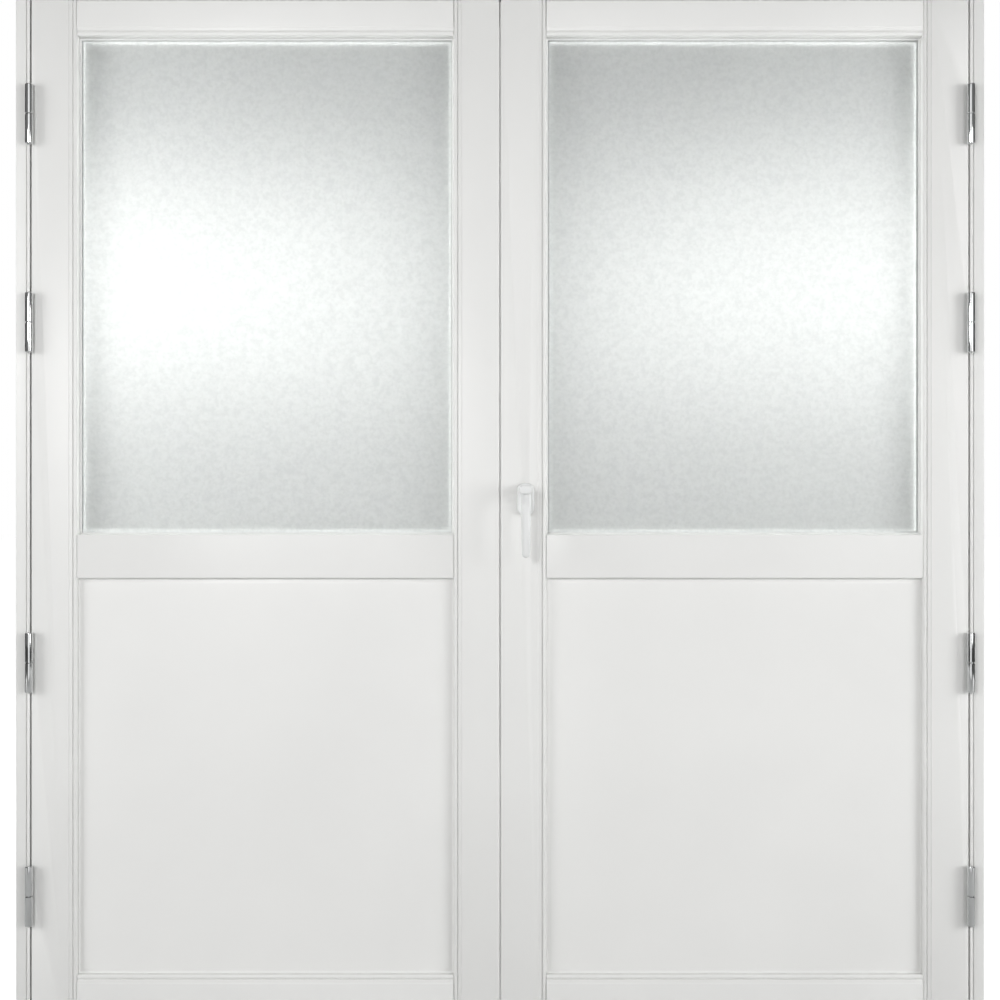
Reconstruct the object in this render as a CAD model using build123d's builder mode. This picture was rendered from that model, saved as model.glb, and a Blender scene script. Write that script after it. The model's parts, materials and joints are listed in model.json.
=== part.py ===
from build123d import *
import math
import os

os.makedirs("parts", exist_ok=True)

# A pair of hinged doors in a frame, in millimetres, as seen from the front, which faces -Y.
# The origin is at the bottom of the frame, midway along its width and through its depth.
overall_width = 1800.0
overall_height = 2000.0

# Frame members: a flat face, a quirk and a bead at the front, and a stop at the back
jamb_face = 25.5
frame_flat = 18.6
quirk_width = 1.5
quirk_depth = 2.5
bead_radius = 2.2
stop_depth = 20.0
stop_reach = 28.5
seal_groove_width = 3.0
seal_groove_depth = 5.0
seal_bulb_width = 6.0
seal_inset = 14.5
bottom_seal_drop = 8.0
mitre_overcut = 1.0
fixing_radius = 4.0
fixing_count = 4
fixing_margin = 190.0
fixing_setback = 45.0

# Threshold: a hollow aluminium extrusion with an upstand behind the leaves
threshold_height = 22.0
upstand_height = 24.0
threshold_wall = 2.5
chamber_count = 2

# Leaves and the gaps around them
leaf_thickness = 56.0
seal_gap = 4.0
hinge_gap = 3.0
top_gap = 3.0
bottom_gap = 8.0
meeting_gap = 3.0
seal_clearance = 0.3
arris = 2.0

# Joinery of a leaf: widths across the face, and depths behind the front face
stile_width = 85.0
top_rail_width = 66.0
mid_rail_width = 81.8
mid_rail_centre_z = 936.4
bottom_rail_width = 128.0
moulding_width = 16.0
moulding_slope = 1.0
moulding_step = 1.0
moulding_quirk_width = 1.8
moulding_quirk_depth = 2.4
moulding_bead_width = 7.0
moulding_bead_edge = 1.2
moulding_radius = 4.0
rail_arris = 3.0
stop_thickness = 18.0
rebate_width = 14.0
tenon_length = 20.0
tenon_thickness = 14.0
tenon_margin = 10.0
tenon_end_gap = 1.0

# Glazing, from the front gasket to the beads at the back
front_gasket = 3.0
pane_thickness = 4.0
spacer_thickness = 12.0
back_gasket = 2.0
gasket_reach = 2.0
spacer_width = 11.0
pane_edge_gap = 4.0
pane_spacer_inset = 4.0
bead_slope = 3.0
bead_joint = 0.3

# Lower panel: a bevelled field raised above its edge
panel_edge_gap = 2.0
panel_fit = 0.5
panel_edge_rise = 5.5
panel_field_rise = 8.0
panel_bevel = 9.0

# Lift-off hinges
hinge_top_offset = 213.9
hinge_upper_offset = 600.5
hinge_lower_offset = 710.0
hinge_bottom_offset = 277.0
barrel_radius = 7.5
barrel_length = 111.0
barrel_stand = 8.0
pin_radius = 4.0
pin_end_wall = 8.0
running_fit = 0.05
flag_thickness = 2.5
flag_depth = 30.0
flag_start = 5.5
flag_end_inset = 2.0

# Handle
handle_inset = 46.0
handle_z = 1058.0
plate_width = 32.0
plate_height = 59.0
plate_thickness = 8.0
plate_corner = 9.0
plate_top = 14.5
head_width = 23.0
head_height = 15.4
lever_projection = 54.0
grip_thickness = 12.0
grip_top_width = 17.5
grip_end_width = 15.0
grip_drop = 122.5
grip_lean = 2.0
grip_end_flat = 2.0
grip_edge = 4.0
head_corner = 4.0
journal_radius = 10.0
spindle_side = 8.0
spindle_start = 30.0

# Cremone lock: one pinion drives two racks in opposite directions
gear_module = 1.25
pinion_teeth = 16
pressure_angle = 20.0
rack_addendum_share = 0.9
dedendum_share = 1.25
tooth_backlash = 0.12
gear_width = 10.0
rack_width = 8.0
rack_back = 3.5
mesh_reach_teeth = 1.5
hub_radius = 7.0
case_thickness = 18.0
case_wall = 1.5
case_fit = 0.2
arm_height = 8.0
arm_gap = 1.8
rod_side = 10.0
rod_clearance = 0.5
rod_setback = 1.0
faceplate_thickness = 3.0
spindle_hole_radius = 7.0

# Flush bolts of the left leaf and the keeps
flush_bolt_length = 150.0
flush_plate_length = 180.0
flush_plate_width = 20.0
flush_slot_length = 40.0
flush_slot_width = 9.0
thumb_height = 12.0
thumb_inset = 1.0
keep_length = 60.0
keep_width = 18.0
keep_thickness = 2.0
keep_hole_clearance = 0.6
keep_hole_depth = 18.0

# Sizes that follow from the ones above
frame_depth = leaf_thickness + seal_gap + stop_depth
front_y = -frame_depth / 2
back_y = frame_depth / 2
stop_y = back_y - stop_depth
fixing_y = front_y + fixing_setback
fixing_spacing = (overall_height - 2 * fixing_margin) / (fixing_count - 1)
half_width = overall_width / 2
leaf_inset = jamb_face + hinge_gap
leaf_back_y = front_y + leaf_thickness
leaf_top = overall_height - jamb_face - top_gap
leaf_bottom = threshold_height + bottom_gap
leaf_height = leaf_top - leaf_bottom
head_under = overall_height - jamb_face
stile_rebate = stile_width - rebate_width
glass_top = leaf_top - top_rail_width
glass_bottom = mid_rail_centre_z + mid_rail_width / 2
panel_top = mid_rail_centre_z - mid_rail_width / 2
panel_bottom = leaf_bottom + bottom_rail_width
pane_front = stop_thickness + front_gasket
spacer_front = pane_front + pane_thickness
inner_pane_front = spacer_front + spacer_thickness
back_gasket_front = inner_pane_front + pane_thickness
bead_front = back_gasket_front + back_gasket
leaf_mid_y = front_y + leaf_thickness / 2
hinge_axis_x = half_width - jamb_face - hinge_gap / 2
hinge_axis_y = front_y - barrel_stand
flag_height = barrel_length / 2 - flag_end_inset
hinge_heights = [
    leaf_top - hinge_top_offset,
    leaf_top - hinge_upper_offset,
    leaf_bottom + hinge_lower_offset,
    leaf_bottom + hinge_bottom_offset,
]
handle_x = meeting_gap / 2 + handle_inset
pitch_radius = gear_module * pinion_teeth / 2
tooth_pitch = math.pi * gear_module
bolt_travel = pitch_radius * math.pi / 2
bolt_x = meeting_gap / 2 + faceplate_thickness + rod_clearance + rod_side / 2
channel_width = rod_side + 2 * rod_clearance
channel_depth = faceplate_thickness + channel_width
keep_hole_side = rod_side + 2 * keep_hole_clearance
SIDES = {"left": -1, "right": 1}


def corners(sketch, *points):
    # The vertices of a sketch that lie at these points
    return [sketch.vertices().sort_by_distance(point)[0] for point in points]


def write(builder, name):
    builder.part.label = name
    export_step(builder.part, f"parts/{name}.step")


# Frame


def jamb(side):
    edge = side * half_width

    def at(inset):
        return edge - side * inset

    with BuildPart() as piece:
        with BuildSketch(Plane.XY.offset(threshold_height)) as section:
            with BuildLine():
                Polyline(
                    (at(0), front_y),
                    (at(frame_flat), front_y),
                    (at(frame_flat), front_y + quirk_depth),
                    (at(frame_flat + quirk_width), front_y + quirk_depth),
                    (at(frame_flat + quirk_width), front_y),
                    (at(jamb_face), front_y),
                    (at(jamb_face), stop_y),
                    (at(jamb_face + stop_reach), stop_y),
                    (at(jamb_face + stop_reach), back_y),
                    (at(0), back_y),
                    close=True,
                )
            make_face()
            bead = corners(section, (at(frame_flat + quirk_width), front_y), (at(jamb_face), front_y))
            fillet(bead, radius=bead_radius)
            with Locations((at(jamb_face + seal_inset), stop_y + seal_groove_depth / 2)):
                Rectangle(seal_groove_width, seal_groove_depth, mode=Mode.SUBTRACT)
        extrude(amount=overall_height - threshold_height)
        # The mitre: what lies nearer the top than the side belongs to the head
        with BuildSketch(Plane.XZ):
            with BuildLine():
                reach = jamb_face + stop_reach + mitre_overcut
                Polyline(
                    (edge, overall_height),
                    (at(reach), overall_height),
                    (at(reach), overall_height - reach),
                    close=True,
                )
            make_face()
        extrude(amount=frame_depth, both=True, mode=Mode.SUBTRACT)
        # Recesses for the hinge flags
        for centre_z in hinge_heights:
            with BuildSketch(Plane.XY.offset(centre_z)):
                with Locations((at(jamb_face - flag_thickness / 2), front_y + flag_depth / 2)):
                    Rectangle(flag_thickness, flag_depth)
            extrude(amount=-flag_height, mode=Mode.SUBTRACT)
        # Holes for the screws that fix the frame to a wall
        with BuildSketch(Plane.YZ.offset(edge)):
            with Locations((fixing_y, overall_height / 2)):
                with GridLocations(fixing_spacing, fixing_spacing, 1, fixing_count):
                    Circle(fixing_radius)
        extrude(amount=jamb_face + stop_reach, both=True, mode=Mode.SUBTRACT)
    return piece


for side_name, side in SIDES.items():
    write(jamb(side), f"{side_name}_jamb")

with BuildPart() as head:
    with BuildSketch(Plane.YZ.offset(-half_width)) as section:
        with BuildLine():
            bead_z = overall_height - frame_flat - quirk_width
            Polyline(
                (front_y, overall_height),
                (front_y, overall_height - frame_flat),
                (front_y + quirk_depth, overall_height - frame_flat),
                (front_y + quirk_depth, bead_z),
                (front_y, bead_z),
                (front_y, head_under),
                (stop_y, head_under),
                (stop_y, head_under - stop_reach),
                (back_y, head_under - stop_reach),
                (back_y, overall_height),
                close=True,
            )
        make_face()
        fillet(corners(section, (front_y, bead_z), (front_y, head_under)), radius=bead_radius)
        with Locations((stop_y + seal_groove_depth / 2, head_under - seal_inset)):
            Rectangle(seal_groove_depth, seal_groove_width, mode=Mode.SUBTRACT)
    extrude(amount=overall_width)
    with BuildSketch(Plane.XZ):
        for side in SIDES.values():
            with BuildLine():
                reach = jamb_face + stop_reach + mitre_overcut
                Polyline(
                    (side * half_width, overall_height),
                    (side * (half_width - reach), overall_height - reach),
                    (side * half_width, overall_height - reach),
                    close=True,
                )
            make_face()
    extrude(amount=frame_depth, both=True, mode=Mode.SUBTRACT)
    # A recess for the keep and the holes that the bolts enter
    with BuildSketch(Plane.XY.offset(head_under)):
        with Locations((0, leaf_mid_y)):
            Rectangle(keep_length, keep_width)
    extrude(amount=keep_thickness, mode=Mode.SUBTRACT)
    with BuildSketch(Plane.XY.offset(head_under)):
        with Locations((0, leaf_mid_y)):
            with GridLocations(2 * bolt_x, 1, 2, 1):
                Rectangle(keep_hole_side, keep_hole_side)
    extrude(amount=keep_hole_depth, mode=Mode.SUBTRACT)
write(head, "head")

with BuildPart() as head_keep:
    with BuildSketch(Plane.XY.offset(head_under)):
        with Locations((0, leaf_mid_y)):
            Rectangle(keep_length, keep_width)
            with GridLocations(2 * bolt_x, 1, 2, 1):
                Rectangle(keep_hole_side, keep_hole_side, mode=Mode.SUBTRACT)
    extrude(amount=keep_thickness)
write(head_keep, "head_keep")

upstand_top = threshold_height + upstand_height
upstand_half = half_width - jamb_face - stop_reach
bottom_seal_z = upstand_top - bottom_seal_drop

with BuildPart() as threshold:
    with BuildSketch(Plane.YZ.offset(-half_width)):
        with BuildLine():
            Polyline(
                (front_y, 0),
                (back_y, 0),
                (back_y, upstand_top),
                (stop_y, upstand_top),
                (stop_y, threshold_height),
                (front_y, threshold_height),
                close=True,
            )
        make_face()
        with Locations((0, threshold_height / 2)):
            chamber = (frame_depth - threshold_wall) / chamber_count - threshold_wall
            with GridLocations(chamber + threshold_wall, 1, chamber_count, 1):
                Rectangle(chamber, threshold_height - 2 * threshold_wall, mode=Mode.SUBTRACT)
        with Locations((stop_y + seal_groove_depth / 2, bottom_seal_z)):
            Rectangle(seal_groove_depth, seal_groove_width, mode=Mode.SUBTRACT)
        upstand_chamber = stop_depth - seal_groove_depth - 2 * threshold_wall
        with Locations((back_y - threshold_wall - upstand_chamber / 2, threshold_height + upstand_height / 2)):
            Rectangle(upstand_chamber, upstand_height - 2 * threshold_wall, mode=Mode.SUBTRACT)
    extrude(amount=overall_width)
    # The upstand stops at the jambs
    with BuildSketch(Plane.XY.offset(threshold_height)):
        for side in SIDES.values():
            with Locations((side * (half_width + upstand_half) / 2, 0)):
                Rectangle(half_width - upstand_half, frame_depth)
    extrude(amount=upstand_height, mode=Mode.SUBTRACT)
    # Holes that the lower bolts enter
    with BuildSketch(Plane.XY.offset(threshold_height)):
        with Locations((0, leaf_mid_y)):
            with GridLocations(2 * bolt_x, 1, 2, 1):
                Rectangle(keep_hole_side, keep_hole_side)
    extrude(amount=-2 * threshold_wall, mode=Mode.SUBTRACT)
write(threshold, "threshold")

with BuildPart() as frame_seals:
    seal_front = leaf_back_y + seal_clearance
    bulb_depth = stop_y - seal_front
    seal_x = half_width - jamb_face - seal_inset
    seal_z = head_under - seal_inset
    seal_base = threshold_height + seal_clearance
    # Upright seals
    with BuildSketch(Plane.XY.offset(seal_base)):
        with Locations((0, seal_front + bulb_depth / 2)):
            with GridLocations(2 * seal_x, 1, 2, 1):
                Rectangle(seal_bulb_width, bulb_depth)
        with Locations((0, stop_y + seal_groove_depth / 2)):
            with GridLocations(2 * seal_x, 1, 2, 1):
                Rectangle(seal_groove_width, seal_groove_depth)
    extrude(amount=seal_z - seal_bulb_width / 2 - seal_clearance - seal_base)
    # Seals of the head and of the threshold
    for level, half_length in ((seal_z, seal_x), (bottom_seal_z, upstand_half - seal_clearance)):
        with BuildSketch(Plane.YZ.offset(-half_length)):
            with Locations((seal_front + bulb_depth / 2, level)):
                Rectangle(bulb_depth, seal_bulb_width)
            with Locations((stop_y + seal_groove_depth / 2, level)):
                Rectangle(seal_groove_depth, seal_groove_width)
        extrude(amount=2 * half_length)
write(frame_seals, "frame_seals")


# Leaves: stiles, rails, panel, glazing


def depth(distance):
    # Y of a plane this far behind the leaf's front face
    return front_y + distance


def moulding_points(place, width):
    # A shallow step down from the flat face, a quirk, and a bead down to the sight line
    flat = width - moulding_width
    bead = width - moulding_bead_width
    quirk = bead - moulding_quirk_width
    return [
        place(flat, 0),
        place(flat + moulding_slope, moulding_step),
        place(quirk, moulding_step),
        place(quirk, moulding_step + moulding_quirk_depth),
        place(bead, moulding_step + moulding_quirk_depth),
        place(bead, moulding_step),
        place(width, moulding_step),
        place(width, stop_thickness),
    ]


def round_bead(section, place, width):
    fillet(corners(section, place(width, moulding_step)), radius=moulding_radius)
    fillet(corners(section, place(width - moulding_bead_width, moulding_step)), radius=moulding_bead_edge)


tenon_front = stop_thickness + (leaf_thickness - stop_thickness - tenon_thickness) / 2
RAILS = {
    "top_rail": (glass_top, leaf_top),
    "mid_rail": (panel_top, glass_bottom),
    "bottom_rail": (leaf_bottom, panel_bottom),
}


def tenon_span(rail_name):
    # Lowest and highest point of a rail's tenons, within its back part
    low, high = RAILS[rail_name]
    low_rebate = 0 if rail_name == "bottom_rail" else rebate_width
    high_rebate = 0 if rail_name == "top_rail" else rebate_width
    return low + low_rebate + tenon_margin, high - high_rebate - tenon_margin


def stile(edge, inward):
    # An upright of a leaf whose outer edge stands at X = edge, with the glass towards inward
    def place(across, distance):
        return (edge + inward * across, depth(distance))

    with BuildPart() as piece:
        with BuildSketch(Plane.XY.offset(leaf_bottom)) as section:
            with BuildLine():
                Polyline(
                    place(0, 0),
                    *moulding_points(place, stile_width),
                    place(stile_rebate, stop_thickness),
                    place(stile_rebate, leaf_thickness),
                    place(0, leaf_thickness),
                    close=True,
                )
            make_face()
            round_bead(section, place, stile_width)
            fillet(corners(section, place(0, 0), place(0, leaf_thickness)), radius=arris)
        extrude(amount=leaf_height)
        # Mortises for the rails
        with BuildSketch(Plane.YZ.offset(edge + inward * stile_rebate)):
            for rail_name in RAILS:
                low, high = tenon_span(rail_name)
                with Locations((depth(tenon_front + tenon_thickness / 2), (low + high) / 2)):
                    Rectangle(tenon_thickness, high - low)
        extrude(amount=-inward * (tenon_length + tenon_end_gap), mode=Mode.SUBTRACT)
    return piece


def hinge_stile(side):
    edge = side * (half_width - leaf_inset)
    piece = stile(edge, -side)
    # Recesses for the hinge flags, open to the front
    with BuildPart() as recesses:
        for centre_z in hinge_heights:
            with BuildSketch(Plane.XY.offset(centre_z)):
                with Locations((edge - side * flag_thickness / 2, front_y + flag_depth / 2)):
                    Rectangle(flag_thickness, flag_depth)
            extrude(amount=flag_height)
    with BuildPart() as finished:
        add(piece.part)
        add(recesses.part, mode=Mode.SUBTRACT)
    return finished


def leaf_span(side, inset):
    # The X of both ends of something that stops this far inside a leaf's two edges
    hinge_end = side * (half_width - leaf_inset - inset)
    meeting_end = side * (meeting_gap / 2 + inset)
    return min(hinge_end, meeting_end), max(hinge_end, meeting_end)


def extrude_across(side, inset):
    low, high = leaf_span(side, inset)
    return Plane.YZ.offset(low), high - low


def rail(side, rail_name):
    low, high = RAILS[rail_name]

    def from_top(across, distance):
        return (depth(distance), leaf_top - across)

    def from_bottom(across, distance):
        return (depth(distance), leaf_bottom + across)

    slab_plane, slab_length = extrude_across(side, stile_width)
    back_plane, back_length = extrude_across(side, stile_rebate)
    tenon_plane, tenon_run = extrude_across(side, stile_rebate - tenon_length)
    tenon_low, tenon_high = tenon_span(rail_name)
    with BuildPart() as piece:
        # The front part runs between the sight lines
        with BuildSketch(slab_plane) as section:
            if rail_name == "mid_rail":
                with Locations((depth((moulding_step + stop_thickness) / 2), (low + high) / 2)):
                    Rectangle(stop_thickness - moulding_step, high - low)
                ends = (depth(moulding_step), low), (depth(moulding_step), high)
                fillet(corners(section, *ends), radius=rail_arris)
            else:
                place = from_top if rail_name == "top_rail" else from_bottom
                width = high - low
                with BuildLine():
                    Polyline(
                        place(0, 0),
                        *moulding_points(place, width),
                        place(0, stop_thickness),
                        close=True,
                    )
                make_face()
                round_bead(section, place, width)
                fillet(corners(section, place(0, 0)), radius=arris)
        extrude(amount=slab_length)
        # The back part reaches to the bottom of the stiles' rebates
        back_low = low + (0 if rail_name == "bottom_rail" else rebate_width)
        back_high = high - (0 if rail_name == "top_rail" else rebate_width)
        with BuildSketch(back_plane):
            with Locations((depth((stop_thickness + leaf_thickness) / 2), (back_low + back_high) / 2)):
                Rectangle(leaf_thickness - stop_thickness, back_high - back_low)
        extrude(amount=back_length)
        with BuildSketch(tenon_plane):
            with Locations((depth(tenon_front + tenon_thickness / 2), (tenon_low + tenon_high) / 2)):
                Rectangle(tenon_thickness, tenon_high - tenon_low)
        extrude(amount=tenon_run)
    return piece


def opening_plane(side, distance):
    # A plane facing the front, this far behind the front face, centred on a leaf's width
    low, high = leaf_span(side, stile_width)
    return Plane(origin=((low + high) / 2, depth(distance), 0), x_dir=(1, 0, 0), z_dir=(0, -1, 0))


def sight_width(side):
    low, high = leaf_span(side, stile_width)
    return high - low


def lower_panel(side):
    width = sight_width(side)
    height = panel_top - panel_bottom
    middle = (panel_top + panel_bottom) / 2
    edge_growth = 2 * (rebate_width - panel_edge_gap)
    with BuildPart() as piece:
        with BuildSketch(opening_plane(side, bead_front)):
            with Locations((0, middle)):
                Rectangle(width + edge_growth, height + edge_growth)
        extrude(amount=bead_front - stop_thickness)
        with BuildSketch(opening_plane(side, stop_thickness)):
            with Locations((0, middle)):
                Rectangle(width - 2 * panel_fit, height - 2 * panel_fit)
        extrude(amount=panel_edge_rise)
        # The bevel up to the field
        with BuildSketch(opening_plane(side, stop_thickness - panel_edge_rise)):
            with Locations((0, middle)):
                Rectangle(width - 2 * panel_fit, height - 2 * panel_fit)
        with BuildSketch(opening_plane(side, stop_thickness - panel_field_rise)):
            with Locations((0, middle)):
                Rectangle(width - 2 * panel_bevel, height - 2 * panel_bevel)
        loft()
    return piece


def pane(side, distance):
    growth = 2 * (rebate_width - pane_edge_gap)
    with BuildPart() as piece:
        with BuildSketch(opening_plane(side, distance + pane_thickness)):
            with Locations((0, (glass_top + glass_bottom) / 2)):
                Rectangle(sight_width(side) + growth, glass_top - glass_bottom + growth)
        extrude(amount=pane_thickness)
    return piece


def ring_around_glass(side, distance, thickness, outer_growth, inner_growth):
    # A flat ring behind the sight line, grown outwards from it by these amounts
    with BuildPart() as piece:
        with BuildSketch(opening_plane(side, distance + thickness)):
            with Locations((0, (glass_top + glass_bottom) / 2)):
                width = sight_width(side)
                height = glass_top - glass_bottom
                Rectangle(width + 2 * outer_growth, height + 2 * outer_growth)
                Rectangle(width + 2 * inner_growth, height + 2 * inner_growth, mode=Mode.SUBTRACT)
        extrude(amount=thickness)
    return piece


def pane_spacer(side):
    outer = rebate_width - pane_edge_gap - pane_spacer_inset
    return ring_around_glass(side, spacer_front, spacer_thickness, outer, outer - spacer_width)


def glazing_gaskets(side):
    outer = rebate_width - pane_edge_gap
    front = ring_around_glass(side, stop_thickness, front_gasket, outer, -gasket_reach)
    back = ring_around_glass(side, back_gasket_front, back_gasket, outer, -gasket_reach / 2)
    with BuildPart() as group:
        add(front.part)
        add(back.part)
    return group


def glazing_beads(side):
    # Four beads round the glass and four round the panel, each with a sloped face
    low, high = leaf_span(side, stile_rebate)
    bead_depth = leaf_thickness - bead_front
    with BuildPart() as group:
        for bottom, top in ((panel_bottom, panel_top), (glass_bottom, glass_top)):
            for sight, away in ((bottom, -1), (top, 1)):
                with BuildSketch(Plane.YZ.offset(low)):
                    with BuildLine():
                        Polyline(
                            (depth(bead_front), sight),
                            (depth(leaf_thickness), sight + away * bead_slope),
                            (depth(leaf_thickness), sight + away * rebate_width),
                            (depth(bead_front), sight + away * rebate_width),
                            close=True,
                        )
                    make_face()
                extrude(amount=high - low)
            with BuildSketch(Plane.XY.offset(bottom + bead_joint)):
                for sight, away in ((low + rebate_width, -1), (high - rebate_width, 1)):
                    with BuildLine():
                        Polyline(
                            (sight, depth(bead_front)),
                            (sight + away * bead_slope, depth(leaf_thickness)),
                            (sight + away * rebate_width, depth(leaf_thickness)),
                            (sight + away * rebate_width, depth(bead_front)),
                            close=True,
                        )
                    make_face()
            extrude(amount=top - bottom - 2 * bead_joint)
    return group


for side_name, side in SIDES.items():
    for rail_name in RAILS:
        write(rail(side, rail_name), f"{side_name}_{rail_name}")
    write(hinge_stile(side), f"{side_name}_hinge_stile")
    write(lower_panel(side), f"{side_name}_lower_panel")
    write(pane(side, pane_front), f"{side_name}_frosted_pane")
    write(pane(side, inner_pane_front), f"{side_name}_inner_pane")
    write(pane_spacer(side), f"{side_name}_pane_spacer")
    write(glazing_gaskets(side), f"{side_name}_glazing_gaskets")
    write(glazing_beads(side), f"{side_name}_glazing_beads")


# Meeting stiles, with the room for the bolts and the lock

lock_inner_x = handle_x + pitch_radius + dedendum_share * gear_module + rack_back
case_end_x = lock_inner_x + case_fit + case_wall + case_fit
case_start_x = meeting_gap / 2 + faceplate_thickness
rack_half = mesh_reach_teeth * tooth_pitch + tooth_pitch / 4 + gear_module / 2
rack_reach = bolt_travel + rack_half
upper_arm_z = handle_z + rack_reach + arm_gap
lower_arm_z = handle_z - pitch_radius - gear_module - arm_gap - arm_height
case_top = upper_arm_z + arm_height + bolt_travel + case_fit + case_wall
case_bottom = lower_arm_z - bolt_travel - case_fit - case_wall


def channel(side, bottom, top):
    # The groove for a bolt rod in a meeting edge
    with BuildPart() as piece:
        with BuildSketch(Plane.XY.offset(bottom)):
            with Locations((side * (meeting_gap / 2 + channel_depth / 2), leaf_mid_y)):
                Rectangle(channel_depth, channel_width)
        extrude(amount=top - bottom)
    return piece


def edge_plate(side, width, bottom, top):
    # A plate let into a meeting edge, flush with it
    with BuildPart() as piece:
        with BuildSketch(Plane.XY.offset(bottom)):
            with Locations((side * (meeting_gap + faceplate_thickness) / 2, leaf_mid_y)):
                Rectangle(faceplate_thickness, width)
        extrude(amount=top - bottom)
    return piece


left_meeting_blank = stile(-meeting_gap / 2, -1)
flush_plate_ends = [
    (leaf_top - flush_plate_length, leaf_top),
    (leaf_bottom, leaf_bottom + flush_plate_length),
]

with BuildPart() as left_meeting_stile:
    add(left_meeting_blank.part)
    for bottom, top in flush_plate_ends:
        add(edge_plate(-1, flush_plate_width, bottom, top).part, mode=Mode.SUBTRACT)
        add(channel(-1, bottom, top).part, mode=Mode.SUBTRACT)
write(left_meeting_stile, "left_meeting_stile")

right_meeting_blank = stile(meeting_gap / 2, 1)

with BuildPart() as right_meeting_stile:
    add(right_meeting_blank.part)
    add(edge_plate(1, case_thickness, leaf_bottom, leaf_top).part, mode=Mode.SUBTRACT)
    add(channel(1, leaf_bottom, leaf_top).part, mode=Mode.SUBTRACT)
    # The mortise of the lock case
    with BuildSketch(Plane.XY.offset(case_bottom - case_fit)):
        with Locations(((case_start_x + case_end_x) / 2, leaf_mid_y)):
            Rectangle(case_end_x - case_start_x, case_thickness)
    extrude(amount=case_top - case_bottom + 2 * case_fit, mode=Mode.SUBTRACT)
    with BuildSketch(Plane.XZ.offset(-leaf_mid_y)):
        with Locations((handle_x, handle_z)):
            Circle(spindle_hole_radius)
    extrude(amount=leaf_thickness / 2, mode=Mode.SUBTRACT)
write(right_meeting_stile, "right_meeting_stile")


# Hinges


def knuckle(side, centre_z, way):
    # Half of a barrel, above or below its joint, with a blind bore for the pin
    bore = pin_radius + (running_fit if way > 0 else 0)
    end = barrel_length / 2
    axis_point = (side * hinge_axis_x, hinge_axis_y, centre_z)
    with BuildPart() as piece:
        with BuildSketch(Plane(origin=axis_point, x_dir=(1, 0, 0), z_dir=(0, -1, 0))):
            with BuildLine():
                Polyline(
                    (bore, 0),
                    (barrel_radius, 0),
                    (barrel_radius, way * end),
                    (0, way * end),
                    (0, way * (end - pin_end_wall)),
                    (bore, way * (end - pin_end_wall)),
                    close=True,
                )
            make_face()
        revolve(axis=Axis(axis_point, (0, 0, 1)))
    return piece


def hinge_half(side, centre_z, way):
    # The flag lies in the leaf's edge on the upper half, and in the jamb on the lower half
    base = knuckle(side, centre_z, way)
    face_x = half_width - (leaf_inset if way > 0 else jamb_face)
    middle_x = side * (face_x - way * flag_thickness / 2)
    flag_y = hinge_axis_y + flag_start
    flag_back = front_y + flag_depth
    with BuildPart() as piece:
        add(base.part)
        with BuildSketch(Plane.XY.offset(centre_z)):
            with Locations((middle_x, (flag_y + flag_back) / 2)):
                Rectangle(flag_thickness, flag_back - flag_y)
        extrude(amount=way * flag_height)
    return piece


def hinge_halves(side, way):
    halves = [hinge_half(side, centre_z, way) for centre_z in hinge_heights]
    with BuildPart() as group:
        for half in halves:
            add(half.part)
    return group


for side_name, side in SIDES.items():
    write(hinge_halves(side, -1), f"{side_name}_hinge_frame_halves")
    write(hinge_halves(side, 1), f"{side_name}_hinge_leaf_halves")

hinge_places = [(side * hinge_axis_x, hinge_axis_y, z) for side in SIDES.values() for z in hinge_heights]

with BuildPart() as hinge_pins:
    with Locations(*hinge_places):
        Cylinder(pin_radius, barrel_length - 2 * pin_end_wall - running_fit)
write(hinge_pins, "hinge_pins")


# Lock of the right leaf: case, pinion, racks on the bolt rods

gear_mid_y = leaf_mid_y
pressure = math.radians(pressure_angle)
base_radius = pitch_radius * math.cos(pressure)
tip_circle = pitch_radius + gear_module
root_circle = pitch_radius - dedendum_share * gear_module


def flank_angle(radius):
    # Half the angle that a tooth fills at this radius, on an involute flank
    def involute(angle):
        return math.tan(angle) - angle

    at_pitch = (tooth_pitch / 2 - tooth_backlash) / (2 * pitch_radius)
    if radius <= base_radius:
        return at_pitch + involute(pressure)
    return at_pitch + involute(pressure) - involute(math.acos(base_radius / radius))


def pinion_outline():
    flank_radii = [root_circle, base_radius, pitch_radius, tip_circle]
    points = []
    for tooth in range(pinion_teeth):
        middle = 2 * math.pi * tooth / pinion_teeth
        rising = [(radius, middle - flank_angle(radius)) for radius in flank_radii]
        falling = [(radius, middle + flank_angle(radius)) for radius in reversed(flank_radii)]
        points += [(r * math.cos(a), r * math.sin(a)) for r, a in rising + falling]
    return points


def facing_front(x, y, z):
    # A plane at this point that faces the front, with Z upwards
    return Plane(origin=(x, y, z), x_dir=(1, 0, 0), z_dir=(0, -1, 0))


with BuildPart() as lock_pinion:
    with BuildSketch(facing_front(handle_x, gear_mid_y, handle_z)):
        with BuildLine():
            Polyline(*pinion_outline(), close=True)
        make_face()
    extrude(amount=gear_width / 2, both=True)
    with BuildSketch(facing_front(handle_x, gear_mid_y, handle_z)):
        Circle(hub_radius)
    extrude(amount=case_thickness / 2, both=True)
    with BuildSketch(facing_front(handle_x, gear_mid_y, handle_z)):
        Rectangle(spindle_side, spindle_side)
    extrude(amount=case_thickness / 2, both=True, mode=Mode.SUBTRACT)
write(lock_pinion, "lock_pinion")


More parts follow.
